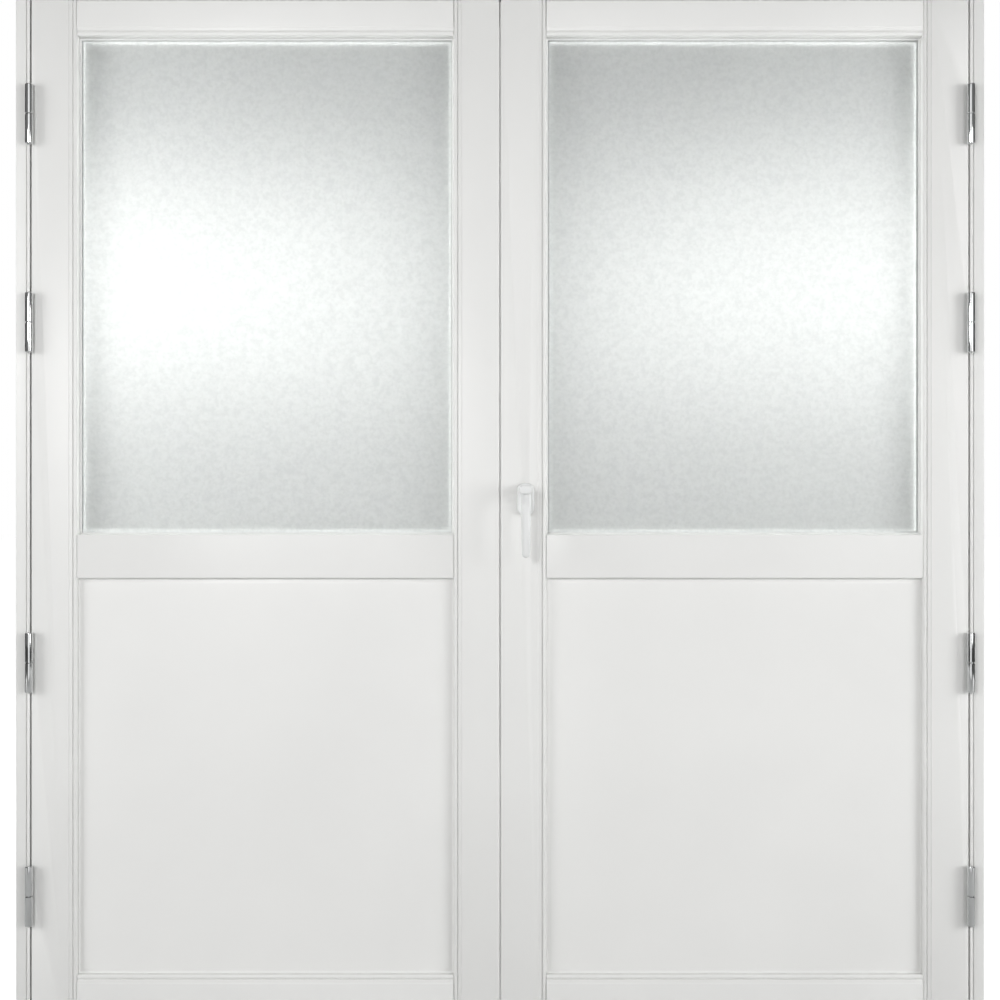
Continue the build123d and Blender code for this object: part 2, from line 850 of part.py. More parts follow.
def bolt_rod(way, rod_end):
    # The upper rod (way 1) carries its rack beyond the pinion, the lower one (way -1) before it
    rack_pitch_x = handle_x + way * pitch_radius
    addendum = rack_addendum_share * gear_module
    dedendum = dedendum_share * gear_module
    thickness = tooth_pitch / 2 - tooth_backlash
    tip_half = thickness / 2 - addendum * math.tan(pressure)
    root_half = thickness / 2 + dedendum * math.tan(pressure)
    bar_x = rack_pitch_x + way * dedendum
    back_x = bar_x + way * rack_back
    arm_low = upper_arm_z if way > 0 else lower_arm_z
    arm_high = arm_low + arm_height
    bar_end = handle_z - way * rack_reach
    arm_far = arm_high if way > 0 else arm_low
    tooth_count = round(bolt_travel / tooth_pitch + 2 * mesh_reach_teeth) + 1
    with BuildPart() as piece:
        with BuildSketch(facing_front(0, gear_mid_y, 0)):
            with Locations(((bar_x + back_x) / 2, (bar_end + arm_far) / 2)):
                Rectangle(rack_back, abs(arm_far - bar_end))
            for tooth in range(tooth_count):
                tooth_z = handle_z + way * (mesh_reach_teeth - tooth) * tooth_pitch
                with BuildLine():
                    Polyline(
                        (bar_x, tooth_z - root_half),
                        (rack_pitch_x - way * addendum, tooth_z - tip_half),
                        (rack_pitch_x - way * addendum, tooth_z + tip_half),
                        (bar_x, tooth_z + root_half),
                        close=True,
                    )
                make_face()
            with Locations(((bolt_x + back_x) / 2, (arm_low + arm_high) / 2)):
                Rectangle(back_x - bolt_x, arm_height)
        extrude(amount=rack_width / 2, both=True)
        with BuildSketch(Plane.XY.offset(arm_low if way > 0 else arm_high)):
            with Locations((bolt_x, leaf_mid_y)):
                Rectangle(rod_side, rod_side)
        extrude(amount=rod_end - (arm_low if way > 0 else arm_high))
        chamfer(piece.faces().sort_by(Axis.Z)[-1 if way > 0 else 0].edges(), length=rod_setback)
    return piece


write(bolt_rod(1, leaf_top - rod_setback), "upper_bolt_rod")
write(bolt_rod(-1, leaf_bottom + rod_setback), "lower_bolt_rod")

with BuildPart() as lock_case:
    with BuildSketch(facing_front(0, gear_mid_y, 0)):
        with Locations(((case_start_x + case_end_x - case_fit) / 2, (case_top + case_bottom) / 2)):
            Rectangle(case_end_x - case_fit - case_start_x, case_top - case_bottom)
    extrude(amount=case_thickness / 2, both=True)
    # Hollow inside, and open towards the edge
    with BuildSketch(facing_front(0, gear_mid_y, 0)):
        with Locations(((case_start_x + lock_inner_x + case_fit) / 2, (case_top + case_bottom) / 2)):
            Rectangle(lock_inner_x + case_fit - case_start_x, case_top - case_bottom - 2 * case_wall)
    extrude(amount=case_thickness / 2 - case_wall, both=True, mode=Mode.SUBTRACT)
    # Notches in both ends for the rods
    add(channel(1, case_bottom, case_top).part, mode=Mode.SUBTRACT)
    with BuildSketch(facing_front(handle_x, gear_mid_y, handle_z)):
        Circle(hub_radius + running_fit)
    extrude(amount=case_thickness / 2, both=True, mode=Mode.SUBTRACT)
write(lock_case, "lock_case")

faceplate = edge_plate(1, case_thickness, leaf_bottom, leaf_top)
write(faceplate, "lock_faceplate")


# Handle of the right leaf

plate_middle_z = handle_z + plate_top - plate_height / 2
plate_front_y = front_y - plate_thickness
lever_front_y = front_y - lever_projection

with BuildPart() as handle_backplate:
    with BuildSketch(facing_front(handle_x, front_y, plate_middle_z)):
        RectangleRounded(plate_width, plate_height, plate_corner)
    extrude(amount=plate_thickness)
    chamfer(handle_backplate.faces().sort_by(Axis.Y)[0].edges(), length=arris)
    with BuildSketch(facing_front(handle_x, front_y, handle_z)):
        Circle(journal_radius)
    extrude(amount=plate_thickness, mode=Mode.SUBTRACT)
write(handle_backplate, "handle_backplate")

spindle_end_y = leaf_mid_y + case_thickness / 2
with BuildPart() as handle_spindle:
    with BuildSketch(facing_front(handle_x, spindle_end_y, handle_z)):
        Rectangle(spindle_side, spindle_side)
    extrude(amount=spindle_end_y - front_y + spindle_start)
write(handle_spindle, "handle_spindle")

grip_back_y = lever_front_y + grip_thickness
grip_low_z = handle_z - grip_drop
head_low_z = handle_z - head_height / 2

with BuildPart() as handle_lever:
    # The grip: a side view that bends over from the neck, narrowed towards its rounded end
    with BuildSketch(Plane.YZ.offset(handle_x)):
        with BuildLine():
            Polyline(
                (lever_front_y, handle_z + head_height / 2 - grip_lean),
                (lever_front_y, grip_low_z),
                (grip_back_y, grip_low_z),
                (grip_back_y, head_low_z - grip_lean),
                (grip_back_y + grip_lean, head_low_z),
                (grip_back_y + grip_lean, handle_z + head_height / 2 - grip_lean),
                close=True,
            )
        make_face()
    extrude(amount=head_width / 2, both=True)
    with BuildSketch(facing_front(handle_x, grip_back_y + grip_lean, 0)):
        with BuildLine():
            Polyline(
                (-grip_top_width / 2, handle_z),
                (-grip_end_width / 2, grip_low_z),
                (grip_end_width / 2, grip_low_z),
                (grip_top_width / 2, handle_z),
                close=True,
            )
        make_face()
    extrude(amount=grip_thickness + grip_lean, mode=Mode.INTERSECT)
    grip_end = handle_lever.edges().filter_by(Axis.Y).group_by(Axis.Z)[0]
    fillet(grip_end, radius=grip_end_width / 2 - grip_end_flat)
    fillet(handle_lever.faces().sort_by(Axis.Y)[0].edges(), radius=grip_edge)
    # The head, from the backplate to the grip
    with BuildSketch(facing_front(handle_x, plate_front_y, handle_z)):
        RectangleRounded(head_width, head_height, head_corner)
    extrude(amount=plate_front_y - lever_front_y - grip_lean)
    # The journal that turns in the backplate, and the socket of the spindle
    with BuildSketch(facing_front(handle_x, front_y, handle_z)):
        Circle(journal_radius - running_fit)
    extrude(amount=plate_thickness)
    with BuildSketch(facing_front(handle_x, front_y, handle_z)):
        Rectangle(spindle_side, spindle_side)
    extrude(amount=spindle_start, mode=Mode.SUBTRACT)
write(handle_lever, "handle_lever")


# Flush bolts of the left leaf

thumb_x = meeting_gap / 2 + thumb_inset


def slot_middle(way, plate_end):
    # Z of the middle of a plate's slot
    return plate_end - way * flush_plate_length / 2


def flush_plate(way, plate_end):
    low = min(plate_end, plate_end - way * flush_plate_length)
    plate = edge_plate(-1, flush_plate_width, low, low + flush_plate_length)
    with BuildPart() as piece:
        add(plate.part)
        with BuildSketch(Plane.YZ):
            with Locations((leaf_mid_y, slot_middle(way, plate_end))):
                Rectangle(flush_slot_width, flush_slot_length)
        extrude(amount=-(meeting_gap + faceplate_thickness), mode=Mode.SUBTRACT)
    return piece


def flush_bolt(way, plate_end):
    # A rod with a thumb piece that stands in the slot, withdrawn at rest
    rod_end = plate_end - way * rod_setback
    thumb_z = slot_middle(way, plate_end) - way * bolt_travel / 2
    with BuildPart() as piece:
        with BuildSketch(Plane.XY.offset(rod_end)):
            with Locations((-bolt_x, leaf_mid_y)):
                Rectangle(rod_side, rod_side)
        extrude(amount=-way * flush_bolt_length)
        chamfer(piece.faces().sort_by(Axis.Z)[-1 if way > 0 else 0].edges(), length=rod_setback)
        with BuildSketch(Plane.YZ.offset(-thumb_x)):
            with Locations((leaf_mid_y, thumb_z)):
                Rectangle(flush_slot_width - 2 * rod_clearance, thumb_height)
        extrude(amount=thumb_x - bolt_x)
    return piece


write(flush_bolt(1, leaf_top), "left_top_bolt")
write(flush_bolt(-1, leaf_bottom), "left_bottom_bolt")

upper_plate = flush_plate(1, leaf_top)
lower_plate = flush_plate(-1, leaf_bottom)
with BuildPart() as flush_bolt_plates:
    add(upper_plate.part)
    add(lower_plate.part)
write(flush_bolt_plates, "flush_bolt_plates")
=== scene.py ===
import json
import math

import bmesh
import bpy
import numpy as np
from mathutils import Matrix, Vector


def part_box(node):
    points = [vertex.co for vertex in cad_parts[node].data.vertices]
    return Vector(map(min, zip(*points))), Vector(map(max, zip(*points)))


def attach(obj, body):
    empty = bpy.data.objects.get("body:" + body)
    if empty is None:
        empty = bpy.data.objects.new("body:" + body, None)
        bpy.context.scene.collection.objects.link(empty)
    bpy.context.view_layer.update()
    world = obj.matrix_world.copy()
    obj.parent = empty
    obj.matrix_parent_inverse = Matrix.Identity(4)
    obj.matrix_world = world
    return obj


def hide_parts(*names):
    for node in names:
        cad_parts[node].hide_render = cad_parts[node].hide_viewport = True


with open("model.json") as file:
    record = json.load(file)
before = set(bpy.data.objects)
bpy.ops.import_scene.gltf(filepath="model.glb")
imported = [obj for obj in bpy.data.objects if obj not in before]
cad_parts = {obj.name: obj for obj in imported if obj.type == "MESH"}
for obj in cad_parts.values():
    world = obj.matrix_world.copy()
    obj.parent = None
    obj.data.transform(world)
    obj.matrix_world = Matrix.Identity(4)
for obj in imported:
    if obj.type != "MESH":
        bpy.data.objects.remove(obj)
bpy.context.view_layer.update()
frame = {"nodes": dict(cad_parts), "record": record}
mm = 0.001
sides = {"left": -1, "right": 1}
print("doors: frame loaded")


# Mesh making

meshing = {
    "mergeDistance": 0.01 * mm,
    "smoothAngle": math.radians(32),
}


def roundedOutline(points, radii, steps=5):
    # Each corner P becomes an arc of radius r that touches both of its sides. With a and b the unit
    # vectors from P to its neighbours and f the angle between them, the arc's middle lies at
    # P + r / sin(f/2) along a + b, it touches the sides at r / tan(f/2), and its points are the
    # spherical blend of the two radii that end there.
    corner = np.array(points, float)
    radius = np.broadcast_to(np.array(radii, float), len(corner))[:, None]
    a = np.roll(corner, 1, axis=0) - corner
    b = np.roll(corner, -1, axis=0) - corner
    a /= np.linalg.norm(a, axis=1, keepdims=True)
    b /= np.linalg.norm(b, axis=1, keepdims=True)
    between = np.arccos(np.clip((a * b).sum(1, keepdims=True), -1, 1))
    middleWay = a + b
    middleWay /= np.linalg.norm(middleWay, axis=1, keepdims=True)
    middle = corner + middleWay * radius / np.sin(between / 2)
    first = corner + a * radius / np.tan(between / 2) - middle
    last = corner + b * radius / np.tan(between / 2) - middle
    turn = (math.pi - between)[:, None]
    share = np.linspace(0, 1, steps + 1)[None, :, None]
    arcs = np.sin((1 - share) * turn) * first[:, None] + np.sin(share * turn) * last[:, None]
    return (middle[:, None] + arcs / np.sin(turn)).reshape(-1, 2)


def gridQuads(rows, columns, closeAlong=False, closeRound=True):
    # Quad (i, j) joins points (i, j), (i, j+1), (i+1, j+1) and (i+1, j), counted round where the grid
    # closes
    i = np.arange(rows if closeAlong else rows - 1)[:, None]
    j = np.arange(columns if closeRound else columns - 1)[None, :]
    nextRow, nextColumn = (i + 1) % rows, (j + 1) % columns
    return np.stack([i * columns + j, i * columns + nextColumn,
                     nextRow * columns + nextColumn, nextRow * columns + j], axis=-1).reshape(-1, 4)


def gridPiece(name, points, body, material, closeAlong=False, closeRound=True, fill=False):
    # A surface from a grid of points: rows are stations along the piece, columns run round its
    # section. An open end of the rows gets one flat face, and fill gives the first and the last
    # column of a ring one each.
    rows, columns = points.shape[:2]
    faces = gridQuads(rows, columns, closeAlong, closeRound).tolist()
    if not closeAlong:
        faces.append(list(range(columns))[::-1])
        faces.append(list(range((rows - 1) * columns, rows * columns)))
    if fill:
        faces.append([row * columns for row in range(rows)])
        faces.append([row * columns + columns - 1 for row in range(rows)][::-1])
    return meshPiece(name, points.reshape(-1, 3), faces, body, material)


def extruded(name, outline, along, ends, body, material):
    # The outline at both ends of an axis: along X its points (u, v) are Y and Z, along Z they are X and Y
    flat = np.broadcast_to(outline, (2, *outline.shape))
    run = np.broadcast_to(np.array(ends, float)[:, None, None], (2, len(outline), 1))
    points = np.concatenate([run, flat] if along == "x" else [flat, run], axis=-1)
    return gridPiece(name, points, body, material)


def newObject(name, data):
    made = bpy.data.objects.new(name, data)
    bpy.context.scene.collection.objects.link(made)
    return made


def meshPiece(name, points, faces, body, material):
    mesh = bpy.data.meshes.new(name)
    mesh.from_pydata(np.asarray(points).tolist(), [], faces)
    piece = newObject(name, mesh)
    tidyMesh(mesh)
    dress(piece, material)
    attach(piece, body)
    return piece


def tidyMesh(mesh):
    # Doubles merged, then faces turned outwards, then smooth shading with sharp edges by angle
    work = bmesh.new()
    work.from_mesh(mesh)
    bmesh.ops.remove_doubles(work, verts=work.verts, dist=meshing["mergeDistance"])
    bmesh.ops.dissolve_degenerate(work, edges=work.edges, dist=meshing["mergeDistance"])
    bmesh.ops.recalc_face_normals(work, faces=work.faces)
    work.to_mesh(mesh)
    work.free()
    shadeByAngle(mesh)


def shadeByAngle(mesh):
    mesh.polygons.foreach_set("use_smooth", np.ones(len(mesh.polygons), bool))
    mesh.set_sharp_from_angle(angle=meshing["smoothAngle"])


def dress(piece, material):
    piece.data.materials.clear()
    piece.data.materials.append(material)


def finishModifiers(piece):
    # The modifiers' result becomes the mesh itself
    seen = piece.evaluated_get(bpy.context.evaluated_depsgraph_get())
    finished = bpy.data.meshes.new_from_object(seen)
    finished.name = piece.data.name
    piece.modifiers.clear()
    piece.data = finished


# Shared effects, as node groups

def newGroup(name, inputs, outputs):
    # A node group with sockets of these kinds, and the node that brings its inputs
    group = bpy.data.node_groups.new(name, "ShaderNodeTree")
    for way, sockets in (("INPUT", inputs), ("OUTPUT", outputs)):
        for label, kind in sockets.items():
            group.interface.new_socket(label, in_out=way, socket_type=f"NodeSocket{kind}")
    return group, group.nodes.new("NodeGroupInput").outputs


def node(tree, kind, inputs=None, **settings):
    # One node with its settings, its inputs linked where a socket is given and set otherwise
    made = tree.nodes.new(kind)
    for key, value in settings.items():
        setattr(made, key, value)
    for key, value in (inputs or {}).items():
        if isinstance(value, bpy.types.NodeSocket):
            tree.links.new(value, made.inputs[key])
        else:
            made.inputs[key].default_value = value
    return made


def maths(tree, operation, *values):
    return node(tree, "ShaderNodeMath", dict(enumerate(values)), operation=operation).outputs[0]


def times(tree, value, factor):
    return maths(tree, "MULTIPLY", value, factor)


def scaled(tree, value, factor, least):
    # The value times a factor, plus the least
    return maths(tree, "ADD", times(tree, value, factor), least)


def ramp(tree, value, *stops):
    made = node(tree, "ShaderNodeValToRGB", {"Fac": value})
    for number, (place, shade) in enumerate(stops):
        stop = made.color_ramp.elements[number] if number < 2 else made.color_ramp.elements.new(place)
        stop.position = place
        stop.color = (shade, shade, shade, 1)
    return made.outputs["Color"]


def colourMix(tree, share, first, second, blend="MIX"):
    parts = {0: share, 6: first, 7: second}
    return node(tree, "ShaderNodeMix", parts, data_type="RGBA", blend_type=blend).outputs[2]


def noise(tree, settings):
    # Clouds of noise, in the piece's own coordinates unless the settings say where
    place = node(tree, "ShaderNodeTexCoord").outputs["Object"]
    return node(tree, "ShaderNodeTexNoise", {"Vector": place, **settings}).outputs["Fac"]


def makeEdgeGroup():
    # How far the rounded normal leans away from the true one: near 0 on a flat, larger at an edge
    group, given = newGroup("edgeMask", {"Reach": "Float", "Gain": "Float"},
                            {"Mask": "Float", "Normal": "Vector"})
    rounded = node(group, "ShaderNodeBevel", {"Radius": given["Reach"]}, samples=2).outputs[0]
    true = node(group, "ShaderNodeNewGeometry").outputs["Normal"]
    lean = node(group, "ShaderNodeVectorMath", {0: rounded, 1: true}, operation="DOT_PRODUCT")
    away = maths(group, "SUBTRACT", 1.0, lean.outputs["Value"])
    strong = times(group, away, given["Gain"])
    # The finishes paint a highlight on the arrises with this mask
    node(group, "NodeGroupOutput", {"Mask": maths(group, "MINIMUM", strong, 1.0), "Normal": rounded})
    return group


grain = {
    "streak": {"Detail": 5.0, "Roughness": 0.62},
    "peel": {"Scale": 420.0, "Detail": 2.0},
    "mottle": {"Scale": 2.6, "Detail": 3.0},
    "streakPart": 0.7,
    "peelPart": 0.3,
}


def makeBrushGroup():
    # Paint laid along the grain: long soft streaks, a finer orange peel, and a slow mottle
    group, given = newGroup("brushedPaint", {"Stretch": "Vector", "Fineness": "Float"},
                            {"Height": "Float", "Mottle": "Float"})
    place = node(group, "ShaderNodeTexCoord").outputs["Object"]
    along = node(group, "ShaderNodeVectorMath", {0: place, 1: given["Stretch"]}, operation="MULTIPLY")
    streak = noise(group, {**grain["streak"], "Vector": along.outputs[0], "Scale": given["Fineness"]})
    peel = times(group, noise(group, grain["peel"]), grain["peelPart"])
    high = scaled(group, streak, grain["streakPart"], peel)
    node(group, "NodeGroupOutput", {"Height": high, "Mottle": noise(group, grain["mottle"])})
    return group


def makeCreviceShadeGroup():
    # Where the surface is closed in by others, as ambient occlusion: 0 in the open, 1 in a corner
    group, given = newGroup("creviceShade", {"Reach": "Float"}, {"Mask": "Float"})
    # The finishes darken their colour with this mask: dust, and painted shade in corners and recesses
    shut = node(group, "ShaderNodeAmbientOcclusion", {"Distance": given["Reach"]}, samples=1)
    node(group, "NodeGroupOutput", {"Mask": maths(group, "SUBTRACT", 1.0, shut.outputs["AO"])})
    return group


edgeGroup = makeEdgeGroup()
brushGroup = makeBrushGroup()
creviceShadeGroup = makeCreviceShadeGroup()


def placed(tree, group, **values):
    made = node(tree, "ShaderNodeGroup", node_tree=group)
    for key, value in values.items():
        made.inputs[key].default_value = value
    return made.outputs


def newMaterial(name, **values):
    # A material with one Principled shader, whose sockets take these plain values
    material = bpy.data.materials.new(name)
    material.use_nodes = True
    shader = material.node_tree.nodes["Principled BSDF"]
    for label, value in values.items():
        shader.inputs[label.replace("_", " ")].default_value = value
    return material, material.node_tree, shader


# Finishes

streaks = {"alongZ": (9.0, 9.0, 0.45), "alongX": (0.45, 9.0, 9.0), "even": (4.0, 4.0, 4.0)}


def effects(tree, look, run):
    # The shared effects as one finish uses them: its marks, its edges and its corners
    marks = placed(tree, brushGroup, Stretch=streaks[run], Fineness=look["fineness"])
    edge = placed(tree, edgeGroup, Reach=look["edgeReach"], Gain=look["edgeGain"])
    return marks, edge, placed(tree, creviceShadeGroup, Reach=look["dustAndShadeReach"])


def finish(tree, shader, look, colour, corner, height, normal=None):
    # Dust and painted shade in the corners, then the height sets the roughness between its least
    # and its most, and raises the surface
    if corner:
        # Painted shade: the occlusion mask darkens the colour in corners, together with dust
        share = times(tree, corner["Mask"], look["dustAndShadeShare"])
        colour = colourMix(tree, share, colour, look["dustAndShade"])
    tree.links.new(colour, shader.inputs["Base Color"])
    least, most = look["roughness"]
    tree.links.new(scaled(tree, height, most - least, least), shader.inputs["Roughness"])
    relief = {"Strength": look["bump"], "Distance": look["relief"], "Height": height}
    if normal:
        relief["Normal"] = normal
    tree.links.new(node(tree, "ShaderNodeBump", relief).outputs[0], shader.inputs["Normal"])


paint = {
    "white": (0.805, 0.805, 0.790, 1),
    "shade": (0.770, 0.770, 0.756, 1),
    "mottle": ((0.35, 0.0), (0.70, 1.0)),
    "streakShare": 0.10,
    # Paler colour at the arrises: wear, and a painted highlight along the edges
    "wornAndHighlit": (0.94, 0.94, 0.93, 1),
    "cornerLoss": 2.0,
    # Dust colour, also painted shade: it darkens the paint in corners by the occlusion mask
    "dustAndShade": (0.60, 0.60, 0.58, 1),
    "dustAndShadeShare": 0.06,
    "dustAndShadeReach": 3.5 * mm,
    "fineness": 14.0,
    "edgeReach": 1.3 * mm,
    "edgeGain": 9.0,
    "roughness": (0.36, 0.46),
    "bump": 0.05,
    "relief": 0.4 * mm,
}


def paintedWood(name, run, tone=1.0, bump=1.0):
    # Lacquer over wood: streaks along the grain, arrises paler with wear and a painted highlight,
    # dust and painted shade where surfaces meet
    material, tree, shader = newMaterial(name, Specular_IOR_Level=0.45, Coat_Weight=0.12, Coat_Roughness=0.32)
    look = {**paint, "bump": paint["bump"] * bump}
    brush, edge, corner = effects(tree, look, run)
    white, shade = ([channel * tone for channel in look[part][:3]] + [1] for part in ("white", "shade"))
    body = colourMix(tree, ramp(tree, brush["Mottle"], *look["mottle"]), white, shade)
    share = times(tree, brush["Height"], look["streakShare"])
    streaked = colourMix(tree, share, body, look["shade"])
    inward = times(tree, corner["Mask"], look["cornerLoss"])
    outward = maths(tree, "SUBTRACT", edge["Mask"], inward)
    # Painted highlight: the arrises turn paler by the edge mask, together with wear
    wornAndHighlit = colourMix(tree, maths(tree, "MAXIMUM", outward, 0.0), streaked, look["wornAndHighlit"])
    finish(tree, shader, look, wornAndHighlit, corner, brush["Height"], edge["Normal"])
    return material


uprightPaint = paintedWood("uprightPaint", "alongZ")
crossPaint = paintedWood("crossPaint", "alongX")
panelPaint = paintedWood("panelPaint", "alongZ", tone=1.025, bump=1.3)


bareMetal = {
    # Grime colour, also painted shade in the corners
    "dustAndShade": (0.12, 0.12, 0.115, 1),
    "dustAndShadeShare": 0.5,
    "dustAndShadeReach": 3 * mm,
    "fineness": 70.0,
    "edgeReach": 0.4 * mm,
    "edgeGain": 3.0,
    "bump": 0.03,
    "relief": 0.1 * mm,
}

sprayedMetal = {
    # Dust colour, also painted shade in the corners
    "dustAndShade": (0.55, 0.55, 0.54, 1),
    "dustAndShadeShare": 0.25,
    "dustAndShadeReach": 4 * mm,
    "fineness": 30.0,
    "edgeReach": 0.6 * mm,
    "edgeGain": 3.0,
    "bump": 0.04,
    "relief": 0.2 * mm,
}


def metalFinish(name, look, colour, rubbedAndHighlit, roughness, run="even", **values):
    # Metal, bare or sprayed: fine marks in its roughness, edges brighter with rubbing and a painted
    # highlight, grime and painted shade in its corners
    material, tree, shader = newMaterial(name, **values)
    marks, edge, corner = effects(tree, look, run)
    # The edge colour is rubbing and a painted highlight; the colour in the corners is grime and painted shade
    finish(tree, shader, {**look, "roughness": roughness}, colourMix(tree, edge["Mask"], colour, rubbedAndHighlit),
           corner, marks["Height"], edge["Normal"])
    return material


# Each metal's second colour lies on its edges: rubbing and a painted highlight
handlePaint = metalFinish("handlePaint", sprayedMetal, (0.76, 0.77, 0.765, 1), (0.86, 0.86, 0.85, 1),
                          (0.16, 0.26), Specular_IOR_Level=0.5, Coat_Weight=0.6, Coat_Roughness=0.08)
hingeChrome = metalFinish("hingeChrome", bareMetal, (0.72, 0.73, 0.73, 1), (0.92, 0.92, 0.92, 1),
                          (0.05, 0.11), Metallic=1.0)
lockSteel = metalFinish("lockSteel", bareMetal, (0.50, 0.50, 0.49, 1), (0.70, 0.70, 0.68, 1),
                        (0.26, 0.48), "alongZ", Metallic=1.0)
spacerCoat = metalFinish("spacerCoat", {**bareMetal, "dustAndShadeShare": 0.05}, (0.86, 0.865, 0.86, 1),
                         (0.92, 0.92, 0.92, 1), (0.42, 0.57))
sillAluminium = metalFinish("sillAluminium", bareMetal, (0.60, 0.60, 0.59, 1), (0.78, 0.78, 0.77, 1),
                            (0.34, 0.54), "alongX", Metallic=1.0)


rubber = {
    "dustAndShadeShare": 0.3,
    "dustAndShadeReach": 4 * mm,
    "fineness": 90.0,
    "roughness": (0.55, 0.75),
    "bump": 0.10,
    "relief": 0.1 * mm,
}


def mattRubber(name, fresh, bloomed, dustAndShade):
    # Matt rubber that has bloomed a little, with dust and painted shade in its corners
    material, tree, shader = newMaterial(name, Specular_IOR_Level=0.35)
    peel = placed(tree, brushGroup, Stretch=streaks["even"], Fineness=rubber["fineness"])
    corner = placed(tree, creviceShadeGroup, Reach=rubber["dustAndShadeReach"])
    bloom = colourMix(tree, peel["Mottle"], fresh, bloomed)
    finish(tree, shader, {**rubber, "dustAndShade": dustAndShade}, bloom, corner, peel["Height"])
    return material


# The third colour is dust, also painted shade, in the rubber's corners
gasketRubber = mattRubber("gasketRubber", (0.79, 0.79, 0.78, 1), (0.83, 0.83, 0.82, 1),
                          (0.58, 0.58, 0.57, 1))
sealRubber = mattRubber("sealRubber", (0.10, 0.102, 0.10, 1), (0.15, 0.152, 0.148, 1),
                        (0.24, 0.24, 0.23, 1))


def mixByRay(tree, kind, usual, special):
    # The usual shader, but the special one for rays of this kind
    ray = node(tree, "ShaderNodeLightPath").outputs[f"Is {kind} Ray"]
    parts = {0: ray, 1: usual.outputs[0], 2: special.outputs[0]}
    return node(tree, "ShaderNodeMixShader", parts).outputs[0]


def passShadows(tree, shader, colour):
    # Light reaches what lies behind the pane: a shadow ray meets a clear tint instead of the glass
    through = node(tree, "ShaderNodeBsdfTransparent", {"Color": colour})
    tree.links.new(mixByRay(tree, "Shadow", shader, through), tree.nodes["Material Output"].inputs["Surface"])


frost = {
    "tint": (0.965, 0.972, 0.966, 1),
    "haze": (0.82, 0.83, 0.825, 1),
    "milk": ((0.40, 0.0), (0.60, 1.0)),
    "fleck": {"Scale": 140.0, "Detail": 3.0},
    "cloud": {"Scale": 55.0, "Detail": 4.0, "Roughness": 0.7},
    "part": 0.5,
    "roughness": (0.66, 0.82),
    "bump": 0.35,
    "relief": 0.25 * mm,
    "shadow": (0.95, 0.96, 0.955, 1),
}


def frostedGlass(name):
    # Etched glass: small flecks in clouds set how rough it is and how its surface rises and falls
    material, tree, shader = newMaterial(name, Transmission_Weight=1.0, IOR=1.50)
    fleck, cloud = (noise(tree, frost[part]) for part in ("fleck", "cloud"))
    both = scaled(tree, fleck, frost["part"], times(tree, cloud, frost["part"]))
    milky = colourMix(tree, ramp(tree, both, *frost["milk"]), frost["tint"], frost["haze"])
    finish(tree, shader, frost, milky, None, both)
    passShadows(tree, shader, frost["shadow"])
    return material


clear = {
    "film": {"Scale": 7.0, "Detail": 6.0},
    "clean": (0.97, 0.985, 0.975, 1),
    "dusty": (0.94, 0.96, 0.95, 1),
    "roughness": 0.02,
    "shadow": (0.95, 0.97, 0.96, 1),
}


def clearGlass(name):
    # Float glass with a breath of dust; shadow rays pass straight through it
    material, tree, shader = newMaterial(name, Transmission_Weight=1.0, IOR=1.50)
    film = noise(tree, clear["film"])
    tree.links.new(colourMix(tree, film, clear["clean"], clear["dusty"]), shader.inputs["Base Color"])
    tree.links.new(times(tree, film, clear["roughness"]), shader.inputs["Roughness"])
    passShadows(tree, shader, clear["shadow"])
    return material


paneFrost = frostedGlass("paneFrost")
paneClear = clearGlass("paneClear")
print("doors: finishes made")


# Every CAD node gets its finish

def eachSide(*parts):
    # The names of these parts on both sides
    return [f"{side}_{part}" for part in parts for side in sides]


uprights = eachSide("jamb", "hinge_stile", "meeting_stile")
crossings = ["head"] + eachSide("top_rail", "mid_rail", "bottom_rail")
nodeFinishes = [
    (uprightPaint, uprights),
    (crossPaint, crossings + eachSide("glazing_beads")),
    (panelPaint, eachSide("lower_panel")),
    (paneFrost, eachSide("frosted_pane")),
    (paneClear, eachSide("inner_pane")),
    (spacerCoat, eachSide("pane_spacer")),
    (sealRubber, ["frame_seals"]),
    (gasketRubber, eachSide("glazing_gaskets")),
    (sillAluminium, ["threshold"]),
    (hingeChrome, eachSide("hinge_frame_halves", "hinge_leaf_halves")),
    (lockSteel, ["hinge_pins", "head_keep", "lock_case", "lock_faceplate", "lock_pinion", "handle_spindle",
                 "upper_bolt_rod", "lower_bolt_rod", "left_top_bolt", "left_bottom_bolt",
                 "flush_bolt_plates"]),
    (handlePaint, ["handle_backplate", "handle_lever"]),
]

for material, names in nodeFinishes:
    for name in names:
        for slot in frame["nodes"][name].material_slots:
            slot.material = material
print("doors: frame finished")


bodyOf = {name: body for body, names in frame["record"]["behaviour"]["bodies"].items() for name in names}


# Timber: the frame's own solids with eased arrises

easing = {
    "timber": 0.7 * mm,
    "threshold": 0.8 * mm,
    "segments": 2,
    "sharperThan": math.radians(38),
    "flatWithin": math.radians(0.5),
}


def easedCopy(name, material, ease):
    # The node's triangles are joined, its flat faces made whole, and each sharp edge becomes an arc
    # of the given width, so that light catches it
    mesh = frame["nodes"][name].data.copy()
    work = bmesh.new()
    work.from_mesh(mesh)
    bmesh.ops.remove_doubles(work, verts=work.verts, dist=meshing["mergeDistance"])
    bmesh.ops.dissolve_limit(work, angle_limit=easing["flatWithin"], verts=work.verts, edges=work.edges)
    work.to_mesh(mesh)
    work.free()
    piece = newObject(f"{name}_eased", mesh)
    bevel = piece.modifiers.new("ease", "BEVEL")
    bevel.width = ease
    bevel.segments = easing["segments"]
    bevel.limit_method = "ANGLE"
    bevel.angle_limit = easing["sharperThan"]
    finishModifiers(piece)
    shadeByAngle(piece.data)
    dress(piece, material)
    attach(piece, bodyOf[name])
    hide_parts(name)


